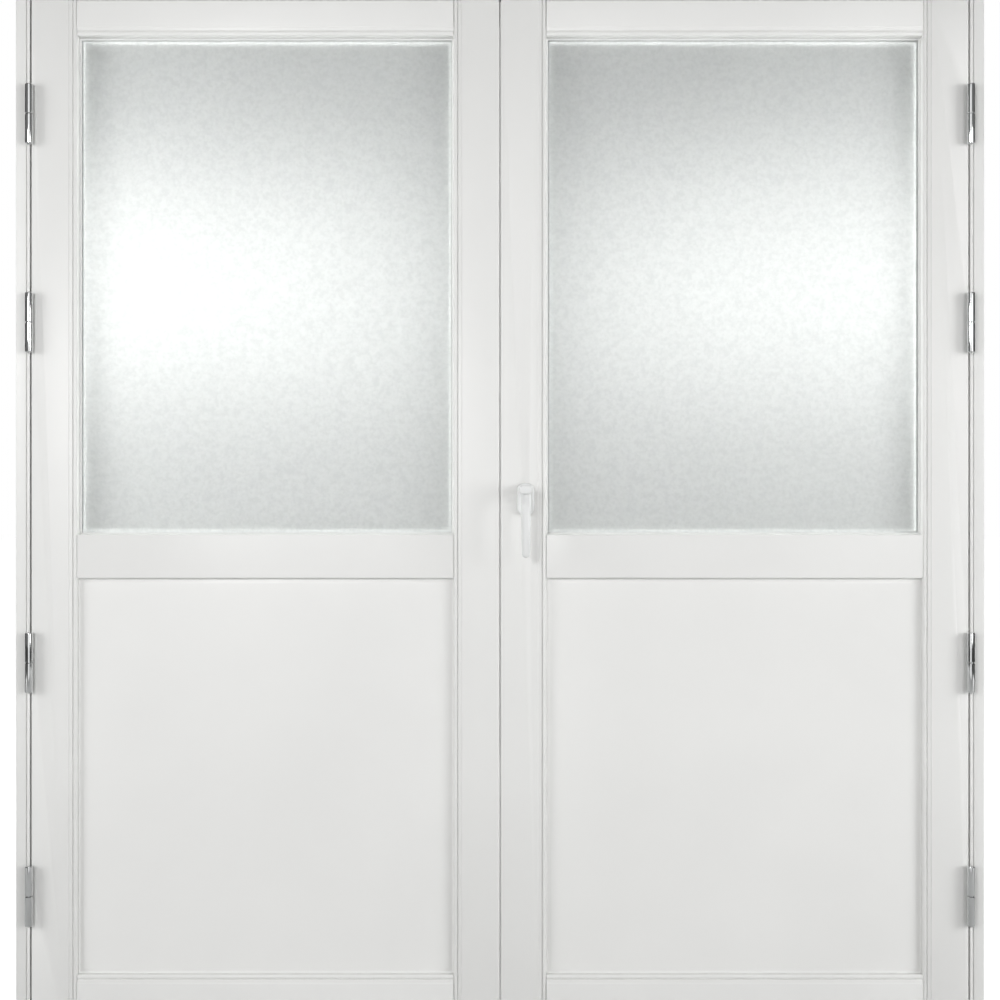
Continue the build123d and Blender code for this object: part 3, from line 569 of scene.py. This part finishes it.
for material, names in ((uprightPaint, uprights), (crossPaint, crossings)):
    for name in names:
        easedCopy(name, material, easing["timber"])
print("doors: timber eased")


# Pieces carried round the panel and the glass

def carried(name, profile, path, inwards, body, material, closeAlong=True, **grid):
    # Profile point (u, v) at path corner P goes to P + u times the inward way at P in X and Z, and to
    # Y = v, so that a diagonal inward way makes a mitre
    across, deep = np.array(profile, float).T
    place = np.array(path, float)[:, None] + across[None, :, None] * np.array(inwards, float)[:, None]
    points = np.stack([place[..., 0], np.broadcast_to(deep, place.shape[:2]), place[..., 1]], axis=-1)
    return gridPiece(name, points, body, material, closeAlong, **grid)


def sightPath(side, upper):
    # The corners of the opening between a leaf's sight lines, above or below its middle rail, in X and
    # Z and in order, and the diagonal inwards at each
    topRail, midRail, bottomRail = (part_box(f"{side}_{rail}_rail") for rail in ("top", "mid", "bottom"))
    panel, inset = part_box(f"{side}_lower_panel"), Vector((panelShape["tongue"], 0, 0))
    left, right = (panel[0] + inset).x, (panel[1] - inset).x
    base, top = (midRail[1].z, topRail[0].z) if upper else (bottomRail[1].z, midRail[0].z)
    return [(left, base), (right, base), (right, top), (left, top)], [(1, 1), (-1, 1), (-1, -1), (1, -1)]


panelShape = {
    "tongue": 12 * mm,
    "lip": 0.1 * mm,
    "lipRise": 5.5 * mm,
    "feather": 0.35 * mm,
    "coveRise": 2.6 * mm,
    "bevel": 9 * mm,
    "fieldStart": 60 * mm,
    "corners": (0, 0.4 * mm, 0.4 * mm, 0.2 * mm, 0.1 * mm, 0.1 * mm, 2.0 * mm, 2.6 * mm, 0),
    "steps": 6,
}


def fieldedPanel(side):
    # From the middle of the back round the tongue, up the lip, over the filled joint's cove and the
    # bevel, and across the field
    name = f"{side}_lower_panel"
    field, back = (corner.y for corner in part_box(name))
    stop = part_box(f"{side}_glazing_gaskets")[0].y
    inner, tongue, lip = panelShape["fieldStart"], -panelShape["tongue"], panelShape["lip"]
    edge, feather = stop - panelShape["lipRise"], lip + panelShape["feather"]
    cove = edge - panelShape["coveRise"]
    profile = roundedOutline(
        [(inner, back), (tongue, back), (tongue, stop), (lip, stop), (lip, cove), (feather, cove),
         (feather, edge), (panelShape["bevel"], field), (inner, field)],
        panelShape["corners"], panelShape["steps"])
    path, inwards = sightPath(side, upper=False)
    piece = carried(f"{side}_fielded_panel", profile, path, inwards, bodyOf[name], panelPaint,
                    closeRound=False, fill=True)
    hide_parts(name)


beading = {
    "land": 13.9 * mm,
    "sightGap": 0.2 * mm,
    "slope": 4.4 * mm,
    "quarter": 5 * mm,
    "corners": (0.2 * mm, 0.4 * mm, 3.5 * mm, 2.0 * mm, 0.2 * mm),
}


def glazingBeads(side):
    # Mitred beads round each opening at the back, with a rounded nose towards the sight line
    name = f"{side}_glazing_beads"
    front, back = (corner.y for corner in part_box(name))
    nose, land = -beading["sightGap"], -beading["land"]
    outline = roundedOutline(
        [(land, front), (nose, front), (nose, front + beading["quarter"]),
         (nose - beading["slope"], back), (land, back)], beading["corners"])
    for number, upper in enumerate((True, False)):
        path, inwards = sightPath(side, upper)
        piece = carried(f"{side}_beading_{number}", outline, path, inwards, bodyOf[name], crossPaint)
        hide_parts(name)


gasket = {
    "hold": 9.6 * mm,
    "frontReach": 3.2 * mm,
    "backReach": 0.8 * mm,
    "groove": (-0.2 * mm, 0.25 * mm, 0.75 * mm),
    "grooveDepth": 1.3 * mm,
    "feather": 0.3 * mm,
    "frontThickness": 3 * mm,
    "backThickness": 2 * mm,
    "frontCorners": (0.1 * mm, 0.05 * mm, 0.1 * mm, 0.1 * mm, 0.1 * mm, 0.1 * mm, 0.1 * mm),
    "backCorners": (0.1 * mm, 0.4 * mm, 0.8 * mm, 0.1 * mm),
}


def glazingGaskets(side):
    # A flat strip before and behind the glass. The front one has a groove along the sight line and
    # slopes from there down to the pane, and the back one has a rounded lip.
    name = f"{side}_glazing_gaskets"
    front, back = (corner.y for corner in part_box(name))
    hold, reach = -gasket["hold"], gasket["frontReach"]
    start, valley, crest = gasket["groove"]
    pane, land = front + gasket["frontThickness"], back - gasket["backThickness"]
    foot = pane - gasket["feather"]
    outlines = {
        "front": roundedOutline([(hold, front), (start, front), (valley, front + gasket["grooveDepth"]),
                                 (crest, front), (reach, foot), (reach, pane), (hold, pane)],
                                gasket["frontCorners"]),
        "back": roundedOutline([(hold, land), (gasket["backReach"], land), (gasket["backReach"], back),
                                (hold, back)], gasket["backCorners"])}
    path, inwards = sightPath(side, True)
    for place, outline in outlines.items():
        piece = carried(f"{side}_gasket_{place}", outline, path, inwards, bodyOf[name], gasketRubber)
        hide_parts(name)


spacer = {
    "outer": 5.9 * mm,
    "inner": 7.4 * mm,
    "flange": 1.6 * mm,
    "crown": 0.9 * mm,
    "sealant": 3.8 * mm,
    "corners": (0.3 * mm, 0.3 * mm, 0.5 * mm, 0.4 * mm, 4 * mm, 0.4 * mm, 0.5 * mm, 0.3 * mm, 0.3 * mm),
    "bedCorner": 0.3 * mm,
}


def paneSpacer(side):
    # A hollow bar between the panes: a crowned face towards the opening and shoulders at the glass,
    # with a bed of sealant behind it
    name = f"{side}_pane_spacer"
    near, far = (corner.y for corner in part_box(name))
    inner, outer, flange = spacer["inner"], -spacer["outer"], spacer["flange"]
    lip, bed = inner - spacer["crown"], outer - spacer["sealant"]
    bar = roundedOutline(
        [(outer, near + flange), (outer + flange, near), (lip, near), (lip, near + flange),
         (inner, (near + far) / 2), (lip, far - flange), (lip, far), (outer + flange, far),
         (outer, far - flange)], spacer["corners"])
    path, inwards = sightPath(side, True)
    piece = carried(f"{side}_spacer_bar", bar, path, inwards, bodyOf[name], spacerCoat)
    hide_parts(name)
    filled = roundedOutline([(bed, near), (outer, near), (outer, far), (bed, far)], spacer["bedCorner"])
    sealed = carried(f"{side}_edge_sealant", filled, path, inwards, bodyOf[name], gasketRubber)
    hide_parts(name)


for side in sides:
    fieldedPanel(side)
    glazingBeads(side)
    glazingGaskets(side)
    paneSpacer(side)
print("doors: panels, beads, gaskets and spacers made")


# Seals of the frame

seal = {
    "bulbWidth": 6 * mm,
    "stem": 3 * mm,
    "stemDepth": 5 * mm,
    "bottomDrop": 8 * mm,
    "corners": (0.8 * mm, 1.6 * mm, 1.6 * mm, 0.8 * mm, 0.2 * mm, 0.3 * mm, 0.3 * mm, 0.2 * mm),
}


def sealOutline(front, root):
    # A soft bulb that the leaf presses on, and the stem that holds it in its groove
    half, stem, end = seal["bulbWidth"] / 2, seal["stem"] / 2, root + seal["stemDepth"]
    return roundedOutline([(-half, root), (-half, front), (half, front), (half, root), (stem, root),
                           (stem, end), (-stem, end), (-stem, root)], seal["corners"])


def frameSeals():
    # One seal goes up a jamb, over the head and down the other jamb; another lies on the threshold
    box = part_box("frame_seals")
    outline = sealOutline(box[0].y, box[1].y - seal["stemDepth"])
    half = seal["bulbWidth"] / 2
    left, right, top, base = box[0].x + half, box[1].x - half, box[1].z - half, box[0].z
    sillTop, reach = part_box("threshold")[1].z - seal["bottomDrop"], -left - half
    hoop = [(left, base), (left, top), (right, top), (right, base)], [(1, 0), (1, -1), (-1, -1), (-1, 0)]
    sill = [(-reach, sillTop), (reach, sillTop)], [(0, 1), (0, 1)]
    for title, run in (("seal_hoop", hoop), ("seal_sill", sill)):
        piece = carried(title, outline, *run, "frame", sealRubber, closeAlong=False)
        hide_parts("frame_seals")


frameSeals()
print("doors: seals made")


# Helpers for fittings: plates with eased edges, turned pieces, screws

def slab(name, outlineAt, thickness, ease, place, body, material, steps=4):
    # A plate whose outline shrinks by i at depth d near each face, where i = e (1 - sin a) and
    # d = e (1 - cos a) for a quarter turn of a, so that its edges are round with radius e
    angle = np.linspace(0, math.pi / 2, steps + 1)
    inset, depth = ease * (1 - np.sin(angle)), ease * (1 - np.cos(angle))
    insets = np.concatenate([inset, inset[::-1]])
    depths = np.concatenate([depth, thickness - depth[::-1]])
    flat = np.stack([outlineAt(i) for i in insets])
    points = place(flat[..., 0], flat[..., 1], depths[:, None] + 0 * flat[..., 0])
    return gridPiece(name, np.stack(points, axis=-1), body, material)


def turned(name, profile, axis, body, material, columns=48):
    # Turned on a lathe: profile point (r, z) at angle a goes to (x + r cos a, y + r sin a, z)
    radius, height = np.array(profile, float).T
    angle = np.linspace(0, 2 * math.pi, columns, endpoint=False)
    points = np.stack([axis[0] + radius[:, None] * np.cos(angle), axis[1] + radius[:, None] * np.sin(angle),
                       np.broadcast_to(height[:, None], (len(radius), columns))], axis=-1)
    return gridPiece(name, points, body, material)


screw = {
    "radius": 3.7 * mm,
    "dome": 0.25 * mm,
    "rim": 0.35 * mm,
    "recess": 1.6 * mm,
    "arm": 0.75 * mm,
    "armReach": 2.1 * mm,
    "ringPower": 0.9,
    "armSlope": 1.6,
    "armFade": 0.4 * mm,
    "rimShare": 0.125,
    "rings": 9,
    "columns": 32,
}


def screwHeads(name, centres, out, across, body, material, scale=1.0):
    # Countersunk heads as one mesh. At (r, a) a head stands up by dome (1 - (r/R)^2), sinks at its
    # rim, and is cut by a cross whose depth eases from full at the arm's middle to none at its side.
    size = screw["radius"] * scale
    radius = np.linspace(0, 1, screw["rings"])[:, None] ** screw["ringPower"] * size
    angle = np.linspace(0, 2 * math.pi, screw["columns"], endpoint=False)[None, :]
    x, y = radius * np.cos(angle), radius * np.sin(angle)
    narrow = np.minimum(abs(x), abs(y)) / (screw["arm"] * scale)
    cut = (np.clip(screw["armSlope"] * (1 - narrow), 0, 1)
           * np.clip((screw["armReach"] * scale - radius) / screw["armFade"], 0, 1))
    z = screw["dome"] * (1 - (radius / size) ** 2) - screw["recess"] * cut
    z = z - screw["rim"] * np.clip(1 - (1 - radius / size) / screw["rimShare"], 0, 1) ** 2
    skirt = np.stack([x[-1], y[-1], z[-1] - 2 * screw["rim"]], axis=-1)
    face = np.concatenate([np.stack([x, y, z], axis=-1), skirt[None]])
    out, across = np.array(out, float), np.array(across, float)
    axes = np.stack([across, np.cross(out, across), out])
    points = face @ axes + np.array(centres, float)[:, None, None, :]
    heads, rows, columns = points.shape[:3]
    first = np.arange(heads) * rows * columns
    fronts = (gridQuads(rows, columns)[None] + first[:, None, None]).reshape(-1, 4)
    backs = np.arange((rows - 1) * columns, rows * columns)[None] + first[:, None]
    return meshPiece(name, points.reshape(-1, 3), fronts.tolist() + backs.tolist(), body, material)


# Hinges: turned knuckles with a sunk ring at the joint, and flags screwed into jamb and leaf

hinge = {
    "fromTop": (213.9 * mm, 600.5 * mm),
    "fromBottom": (710 * mm, 277 * mm),
    "radius": 7.5 * mm,
    "half": 55.5 * mm,
    "shoulder": 1.5 * mm,
    "jointGap": 0.6 * mm,
    "jointEase": 0.7 * mm,
    "ringSink": 1.8 * mm,
    "tipRadius": 3.2 * mm,
    "tipHeights": {-1: 2.4 * mm, 1: 0.72 * mm},
    "turnSteps": 6,
    "flagThickness": 2.5 * mm,
    "flagProud": 0.15 * mm,
    "flagBack": 30 * mm,
    "flagInset": 2 * mm,
    "flagCorner": 8 * mm,
    "flagEase": 0.3 * mm,
    "flagRoot": 0.2 * mm,
    "screwProud": 0.17 * mm,
    "screwSpots": ((13 * mm, 9 * mm), (23 * mm, 27 * mm), (13 * mm, 45 * mm)),
}


def hingeHeights(side):
    low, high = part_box(f"{side}_hinge_stile")
    return [high.z - drop for drop in hinge["fromTop"]] + [low.z + rise for rise in hinge["fromBottom"]]


def knuckleProfile(way):
    # From the joint out: the sunk ring, an eased edge, the barrel, a rounded shoulder and the tip
    radius, half, shoulder, gap = hinge["radius"], hinge["half"], hinge["shoulder"], hinge["jointGap"]
    ring, ease, tip = radius - hinge["ringSink"], hinge["jointEase"], hinge["tipRadius"]
    turnOut = np.linspace(0, math.pi / 2, hinge["turnSteps"])
    joint = [(0, 0), (ring, 0), (ring, gap), (radius - ease, gap), (radius, gap + ease)]
    end = [(radius - shoulder * (1 - math.cos(a)), half - shoulder * (1 - math.sin(a))) for a in turnOut]
    ball = [(tip * math.cos(a), half + hinge["tipHeights"][way] * math.sin(a)) for a in turnOut]
    return [(r, way * z) for r, z in joint + end + ball]


def hingeLines(side, sign):
    # The leaf's outer edge, the line it turns about, and the jamb's edge as far beyond that, in X
    outer = 0 if sign < 0 else 1
    leaf, barrel = (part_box(f"{side}_hinge_{part}")[outer].x for part in ("stile", "leaf_halves"))
    axis = barrel - sign * hinge["radius"]
    return leaf, axis, 2 * axis - leaf


def makeHinges(side, sign):
    # Upper halves ride on the leaf and lower halves on the frame
    leafEdge, axisX, jambEdge = hingeLines(side, sign)
    for way, half in ((1, "leaf"), (-1, "frame")):
        name = f"{side}_hinge_{half}_halves"
        edge, body = leafEdge if way > 0 else jambEdge, bodyOf[name]
        axis = (axisX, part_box(name)[0].y + hinge["radius"])
        for number, height in enumerate(hingeHeights(side)):
            profile = [(r, height + z) for r, z in knuckleProfile(way)]
            knuckle = turned(f"{side}_{half}_knuckle_{number}", profile, axis, body, hingeChrome)
            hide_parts(name)
            makeFlag(f"{side}_{half}_flag_{number}", name, edge, sign * way, axis[1], height, way, body)


def makeFlag(title, name, edge, outward, axisY, height, way, body):
    # The flag lies in the timber's edge, a hair proud of it, and reaches forwards to the barrel
    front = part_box("head")[0].y
    back, reach = front + hinge["flagBack"], hinge["half"] - hinge["flagInset"]
    low, high = sorted((height + way * hinge["jointGap"], height + way * reach))

    def outlineAt(inset):
        corner = hinge["flagCorner"] - inset
        return roundedOutline([(axisY + inset, low + inset), (back - inset, low + inset),
                               (back - inset, high - inset), (axisY + inset, high - inset)],
                              [hinge["flagRoot"], corner, corner, hinge["flagRoot"]])

    flag = slab(title, outlineAt, hinge["flagThickness"], hinge["flagEase"],
                lambda u, v, w: (edge + outward * (hinge["flagProud"] - w), u, v), body, hingeChrome, steps=2)
    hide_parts(name)
    spots = [(edge + outward * hinge["screwProud"], front + y, height + way * z)
             for y, z in hinge["screwSpots"]]
    heads = screwHeads(f"{title}_screws", spots, (outward, 0, 0), (0, 1, 0), body, lockSteel)
    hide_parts(name)


for side, sign in sides.items():
    makeHinges(side, sign)
print("doors: hinges made")


# Handle of the right leaf

handle = {
    "plateCorner": 12 * mm,
    "plateEase": 3.2 * mm,
    "headHeight": 15.4 * mm,
    "headCorner": 5 * mm,
    "headEase": 2.2 * mm,
    "headSpread": 23 * mm,
    "headSink": 0.4 * mm,
    "headRoot": 0.5 * mm,
    "topWidth": 18.5 * mm,
    "endWidth": 15.0 * mm,
    "topDepth": 10.5 * mm,
    "endDepth": 8.0 * mm,
    "hollow": 9.0 * mm,
    "hollowLength": 34 * mm,
    "endTuck": 3.5 * mm,
    "tuckStart": 0.55,
    "roundness": 2.2,
    "rowPower": 0.85,
    "steps": 8,
    "rows": 64,
    "columns": 40,
}


def roundedBox(low, high, corner):
    # For slab: the outline of a box with rounded corners, at any inset
    def outlineAt(inset):
        (left, base), (right, top) = np.add(low, inset), np.subtract(high, inset)
        return roundedOutline([(left, base), (right, base), (right, top), (left, top)],
                              corner - inset, handle["steps"])
    return outlineAt


def handlePlate():
    low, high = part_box("handle_backplate")
    outlineAt = roundedBox((low.x, low.z), (high.x, high.z), handle["plateCorner"])
    plate = slab("backplate", outlineAt, high.y - low.y, handle["plateEase"],
                 lambda u, v, w: (u, high.y - w, v), "right_leaf", handlePaint)
    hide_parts("handle_backplate")


def leverHead(middleX, middleZ, near, far):
    # A block with rounded corners that stands out from the plate to the front of the grip
    half, rise = handle["headSpread"] / 2, handle["headHeight"] / 2
    outlineAt = roundedBox((middleX - half, middleZ - rise), (middleX + half, middleZ + rise),
                           handle["headCorner"])
    return slab("lever_head", outlineAt, far - near, handle["headEase"],
                lambda u, v, w: (u, near + w, v), "handle", handlePaint)


def leverGrip(middleX, topZ, endZ, near):
    # Station t from 0 at the head to 1 at the end. The section is |x/w|^n + |y/d|^n = 1, its width and
    # depth shrink evenly and close at the end as sqrt(1 - s^2); the front starts in a hollow under the
    # head, comes out along half a cosine, and tucks back a little at the end.
    t = np.linspace(0, 1, handle["rows"])[:, None] ** handle["rowPower"]
    angle = np.linspace(0, 2 * math.pi, handle["columns"], endpoint=False)[None, :]
    length = topZ - endZ
    cap, start = handle["endWidth"] / 2, handle["tuckStart"]
    closing = np.clip((t * length - (length - cap)) / cap, 0, 1)
    close = np.sqrt(np.maximum(1 - closing ** 2, 0))
    wide, deep = ((handle[f"top{size}"] + (handle[f"end{size}"] - handle[f"top{size}"]) * t) / 2
                  for size in ("Width", "Depth"))
    share = np.clip(t * length / handle["hollowLength"], 0, 1)
    front = near + handle["hollow"] * (0.5 + 0.5 * np.cos(math.pi * share))
    front = front + handle["endTuck"] * np.clip((t - start) / (1 - start), 0, 1) ** 2
    power, cos, sin = 2 / handle["roundness"], np.cos(angle), np.sin(angle)
    x = middleX + wide * close * np.sign(cos) * abs(cos) ** power
    y = front + deep + deep * close * np.sign(sin) * abs(sin) ** power
    z = topZ - t * length + 0 * angle
    return gridPiece("lever_grip", np.stack([x, y, z], axis=-1), "handle", handlePaint)


def makeHandle():
    (low, high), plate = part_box("handle_lever"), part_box("handle_backplate")
    middleX, middleZ = (plate[0].x + plate[1].x) / 2, high.z - handle["headHeight"] / 2
    head = leverHead(middleX, middleZ, low.y + handle["headSink"], plate[0].y + handle["headRoot"])
    grip = leverGrip(middleX, middleZ, low.z, low.y)
    for piece in (head, grip):
        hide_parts("handle_lever")


handlePlate()
makeHandle()
print("doors: handle made")


# Threshold: the extrusion with eased edges, and fine ribs on its tread

sill = {
    "ribPitch": 3.2 * mm,
    "ribHeight": 0.7 * mm,
    "ribPower": 0.6,
    "ribBands": ((3 * mm, 7), (43 * mm, 4)),
    "samples": 10,
    "sink": 0.3 * mm,
    "endGap": 1.0 * mm,
    "boltGap": 3.5 * mm,
}


def ribStretches():
    # Along X the ribs leave room for the two bolts that go down into the tread
    jambs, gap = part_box("left_jamb")[1].x + sill["endGap"], sill["boltGap"]
    left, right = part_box("left_bottom_bolt"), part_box("lower_bolt_rod")
    return [(jambs, left[0].x - gap), (left[1].x + gap, right[0].x - gap), (right[1].x + gap, -jambs)]


def treadRibs(name, start, ribs, ends):
    # Height over the tread is the rib height times a power of |sin|, one hump for each rib
    front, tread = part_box("threshold")[0].y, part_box("left_jamb")[0].z
    across = np.linspace(0, ribs, ribs * sill["samples"] + 1)
    rise = sill["ribHeight"] * abs(np.sin(math.pi * across)) ** sill["ribPower"]
    top = np.stack([front + start + across * sill["ribPitch"], tread + rise], axis=-1)
    under = np.array([(top[-1, 0], tread - sill["sink"]), (top[0, 0], tread - sill["sink"])])
    ribbed = extruded(name, np.concatenate([top, under]), "x", ends, "frame", sillAluminium)
    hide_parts("threshold")


easedCopy("threshold", sillAluminium, easing["threshold"])
for band, (start, ribs) in enumerate(sill["ribBands"]):
    for number, ends in enumerate(ribStretches()):
        treadRibs(f"tread_ribs_{band}_{number}", start, ribs, ends)
print("doors: threshold made")


# Lock, bolts and keep: eased edges, and the screws that hold them

ironwork = {
    "ease": {"lock_faceplate": 0.4 * mm, "flush_bolt_plates": 0.4 * mm, "head_keep": 0.3 * mm,
             "lock_case": 0.4 * mm, "upper_bolt_rod": 0.3 * mm, "lower_bolt_rod": 0.3 * mm,
             "left_top_bolt": 0.4 * mm, "left_bottom_bolt": 0.4 * mm, "lock_pinion": 0.12 * mm,
             "handle_spindle": 0.5 * mm, "hinge_pins": 0.4 * mm},
    "proud": 0.05 * mm,
    "screwScale": 0.85,
    "fixingScale": 1.2,
    "faceplateEnd": 90 * mm,
    "faceplateScrews": 7,
    "plateEnds": (12 * mm, 168 * mm),
    "keepReach": 25 * mm,
    "fixingHeights": np.linspace(190, 1810, 4) * mm,
    "fixingBack": 45 * mm,
}


def edgeScrews():
    # Screws down the edges of both meeting stiles, and beside the bolt holes of the keep
    face, plates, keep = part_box("lock_faceplate"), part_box("flush_bolt_plates"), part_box("head_keep")
    middleY, proud, end = (face[0].y + face[1].y) / 2, ironwork["proud"], ironwork["faceplateEnd"]
    heights = np.linspace(face[0].z + end, face[1].z - end, ironwork["faceplateScrews"])
    ends = [plates[0].z + near for near in ironwork["plateEnds"]]
    ends += [plates[1].z - near for near in ironwork["plateEnds"]]
    rows = (
        ("faceplate_screws", "lock_faceplate", "right_leaf", (-1, 0, 0), (0, 1, 0),
         [(face[0].x - proud, middleY, z) for z in heights]),
        ("flush_plate_screws", "flush_bolt_plates", "left_leaf", (1, 0, 0), (0, 1, 0),
         [(plates[1].x + proud, middleY, z) for z in ends]),
        ("keep_screws", "head_keep", "frame", (0, 0, -1), (1, 0, 0),
         [(sign * ironwork["keepReach"], middleY, keep[0].z - proud) for sign in sides.values()]),
    )
    for title, name, body, out, across, spots in rows:
        heads = screwHeads(title, spots, out, across, body, lockSteel, ironwork["screwScale"])
        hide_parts(name)


def fixingScrews():
    # The heads of the frame's own screws, in the rebate faces of both jambs
    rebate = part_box("head")[0].y + ironwork["fixingBack"]
    for side, sign in sides.items():
        edge = hingeLines(side, sign)[2]
        spots = [(edge - sign * ironwork["proud"], rebate, z) for z in ironwork["fixingHeights"]]
        heads = screwHeads(f"{side}_fixing_screws", spots, (-sign, 0, 0), (0, 1, 0), "frame", lockSteel,
                           ironwork["fixingScale"])
        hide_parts(f"{side}_jamb")


for name, ease in ironwork["ease"].items():
    easedCopy(name, lockSteel, ease)
edgeScrews()
fixingScrews()
print("doors: ironwork eased and screwed")


# The soft strip between the leaves: a pile in the meeting edge of the leaf that opens first

pile = {
    "front": 6.0 * mm,
    "depth": 4.0 * mm,
    "clearance": 0.4 * mm,
    "root": 1.0 * mm,
    "endGap": 2.0 * mm,
    "corners": (1.4 * mm, 0.1 * mm, 0.1 * mm, 1.4 * mm),
}


def meetingPile():
    # A flat strip whose tip is an arc in plan, from just above the leaf's foot to just below its top
    leaf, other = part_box("right_meeting_stile"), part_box("left_meeting_stile")
    front = leaf[0].y + pile["front"]
    back = front + pile["depth"]
    root, tip = leaf[0].x + pile["root"], other[1].x + pile["clearance"]
    outline = roundedOutline([(tip, front), (root, front), (root, back), (tip, back)], pile["corners"])
    ends = (leaf[0].z + pile["endGap"], leaf[1].z - pile["endGap"])
    strip = extruded("meeting_pile", outline, "z", ends, "right_leaf", gasketRubber)
    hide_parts("right_meeting_stile")


meetingPile()
print("doors: meeting strip made")


# Camera, floor and light

view = {
    "distance": 2.75,
    "height": 1.0415,
    "seenWidth": 1.86,
    "sensor": 36.0,
    "clipEnd": 50,
}

studio = {
    "floorSize": 40.0,
    "floorShine": 1.3,
    "floorThrough": 0.42,
    "floorBounce": (0.68, 0.68, 0.68, 1),
    "aim": (0, 0, 1.05),
    "lamps": {
        "keyLight": ((-1.15, -2.9, 1.75), (0.5, 0.8), 28.2, {}),
        "softLight": ((2.1, -2.7, 1.5), (1.2, 1.4), 17.4, {}),
        "leftSide": ((-4.5, -2.0, 1.5), (1.6, 2.6), 95.0, {"shine": False}),
        "rightSide": ((4.5, -2.0, 1.5), (1.6, 2.6), 121.0, {"shine": False}),
        "backFill": ((0, 3.2, 1.7), (2.6, 2.2), 90.0, {"shine": False, "through": False}),
        "topFill": ((0, 0.9, 4.2), (2.6, 1.2), 48.0, {"shine": False, "through": False}),
        "frontSheen": ((-0.2, -3.4, 1.7), (2.4, 3.4), 26.0, {"fill": False, "aim": (0, 0, 1.5)}),
        "leftGlow": ((-1.0, 0.8, 1.57), (1.75, 0.54), 3.6, {"aim": (-0.8, 0, 1.45)}),
        "rightGlow": ((1.0, 0.8, 1.57), (1.75, 0.54), 3.6, {"aim": (0.8, 0, 1.45)}),
    },
    "floorColours": ((0.72, 0.72, 0.72, 1), (0.76, 0.76, 0.76, 1)),
    "floorCloud": {"Scale": 1.3, "Detail": 2.0},
    "floorRings": 12,
    "floorColumns": 64,
    "backdrop": (0.235, 0.242, 0.238, 1),
    "turn": ((0.25, 0.0), (0.75, 1.0)),
    "above": ((0.46, 1.0), (0.64, 0.40)),
    "around": ((0.20, 0.02), (0.30, 0.17), (0.90, 0.24)),
}


def makeCamera():
    lens = bpy.data.cameras.new("doorCamera")
    lens.sensor_width = view["sensor"]
    lens.lens = view["sensor"] * view["distance"] / view["seenWidth"]
    lens.clip_end = view["clipEnd"]
    camera = newObject("doorCamera", lens)
    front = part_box("left_mid_rail")[0].y
    camera.location = (0, front - view["distance"], view["height"])
    camera.rotation_euler = (math.pi / 2, 0, 0)
    bpy.context.scene.camera = camera


def makeFloor():
    # Flat rings round the object, whose radius grows with the square of their number
    rings = np.linspace(0, 1, studio["floorRings"])[:, None] ** 2 * studio["floorSize"]
    angle = np.linspace(0, 2 * math.pi, studio["floorColumns"], endpoint=False)[None, :]
    points = np.stack([rings * np.cos(angle), rings * np.sin(angle), 0 * rings * angle], axis=-1)
    mesh = bpy.data.meshes.new("floor")
    mesh.from_pydata(points.reshape(-1, 3).tolist(), [], gridQuads(*points.shape[:2])[:, ::-1].tolist())
    tidyMesh(mesh)
    floor = newObject("floor", mesh)
    material, tree, shader = newMaterial("floorPaint", Roughness=0.9, Specular_IOR_Level=0.1)
    pale = colourMix(tree, noise(tree, studio["floorCloud"]), *studio["floorColours"])
    tree.links.new(colourMix(tree, 1.0, pale, studio["floorBounce"], "MULTIPLY"), shader.inputs["Base Color"])
    tree.links.new(pale, shader.inputs["Emission Color"])
    ray = node(tree, "ShaderNodeLightPath").outputs
    through = times(tree, ray["Is Transmission Ray"], studio["floorThrough"])
    glow = scaled(tree, ray["Is Camera Ray"], studio["floorShine"], through)
    tree.links.new(glow, shader.inputs["Emission Strength"])
    dress(floor, material)


def areaLight(name, place, size, power, aim, shine=True, fill=True, through=True):
    # Without shine a lamp isn't seen in polished surfaces, without fill it lights only them, and
    # without through it isn't seen in the glass
    light = bpy.data.lights.new(name, "AREA")
    light.shape = "RECTANGLE"
    light.size, light.size_y = size
    light.energy = power
    lamp = newObject(name, light)
    lamp.location = place
    lamp.rotation_euler = (Vector(aim) - Vector(place)).to_track_quat("-Z", "Y").to_euler()
    lamp.visible_camera = False
    lamp.visible_glossy = shine
    lamp.visible_diffuse = fill
    lamp.visible_transmission = through


def makeLights():
    # Each row gives a lamp's place, size and power, and what is special about it
    for name, (place, size, power, special) in studio["lamps"].items():
        areaLight(name, place, size, power, **{"aim": studio["aim"], **special})


def makeWorld():
    # White for the camera; for the light, palest in a wide ring round the front, dark at the sides
    # and grey behind
    world = bpy.data.worlds.new("studio")
    world.use_nodes = True
    tree = world.node_tree
    tree.nodes.clear()
    way = node(tree, "ShaderNodeTexCoord").outputs["Generated"]
    way = node(tree, "ShaderNodeSeparateXYZ", {0: way}).outputs
    behind = ramp(tree, way["Y"], *studio["turn"])
    ahead = ramp(tree, times(tree, way["Y"], -1.0), *studio["around"])
    darker = ramp(tree, scaled(tree, way["Z"], 0.5, 0.5), *studio["above"])
    backdrop = colourMix(tree, 1.0, studio["backdrop"], darker, "MULTIPLY")
    seen = colourMix(tree, behind, ahead, backdrop)
    soft, white = (node(tree, "ShaderNodeBackground", {"Color": colour}) for colour in (seen, (1, 1, 1, 1)))
    node(tree, "ShaderNodeOutputWorld", {"Surface": mixByRay(tree, "Camera", soft, white)})
    bpy.context.scene.world = world
    bpy.context.scene.view_settings.view_transform = "Standard"


makeCamera()
makeFloor()
makeLights()
makeWorld()
print("doors: camera, floor and light made")
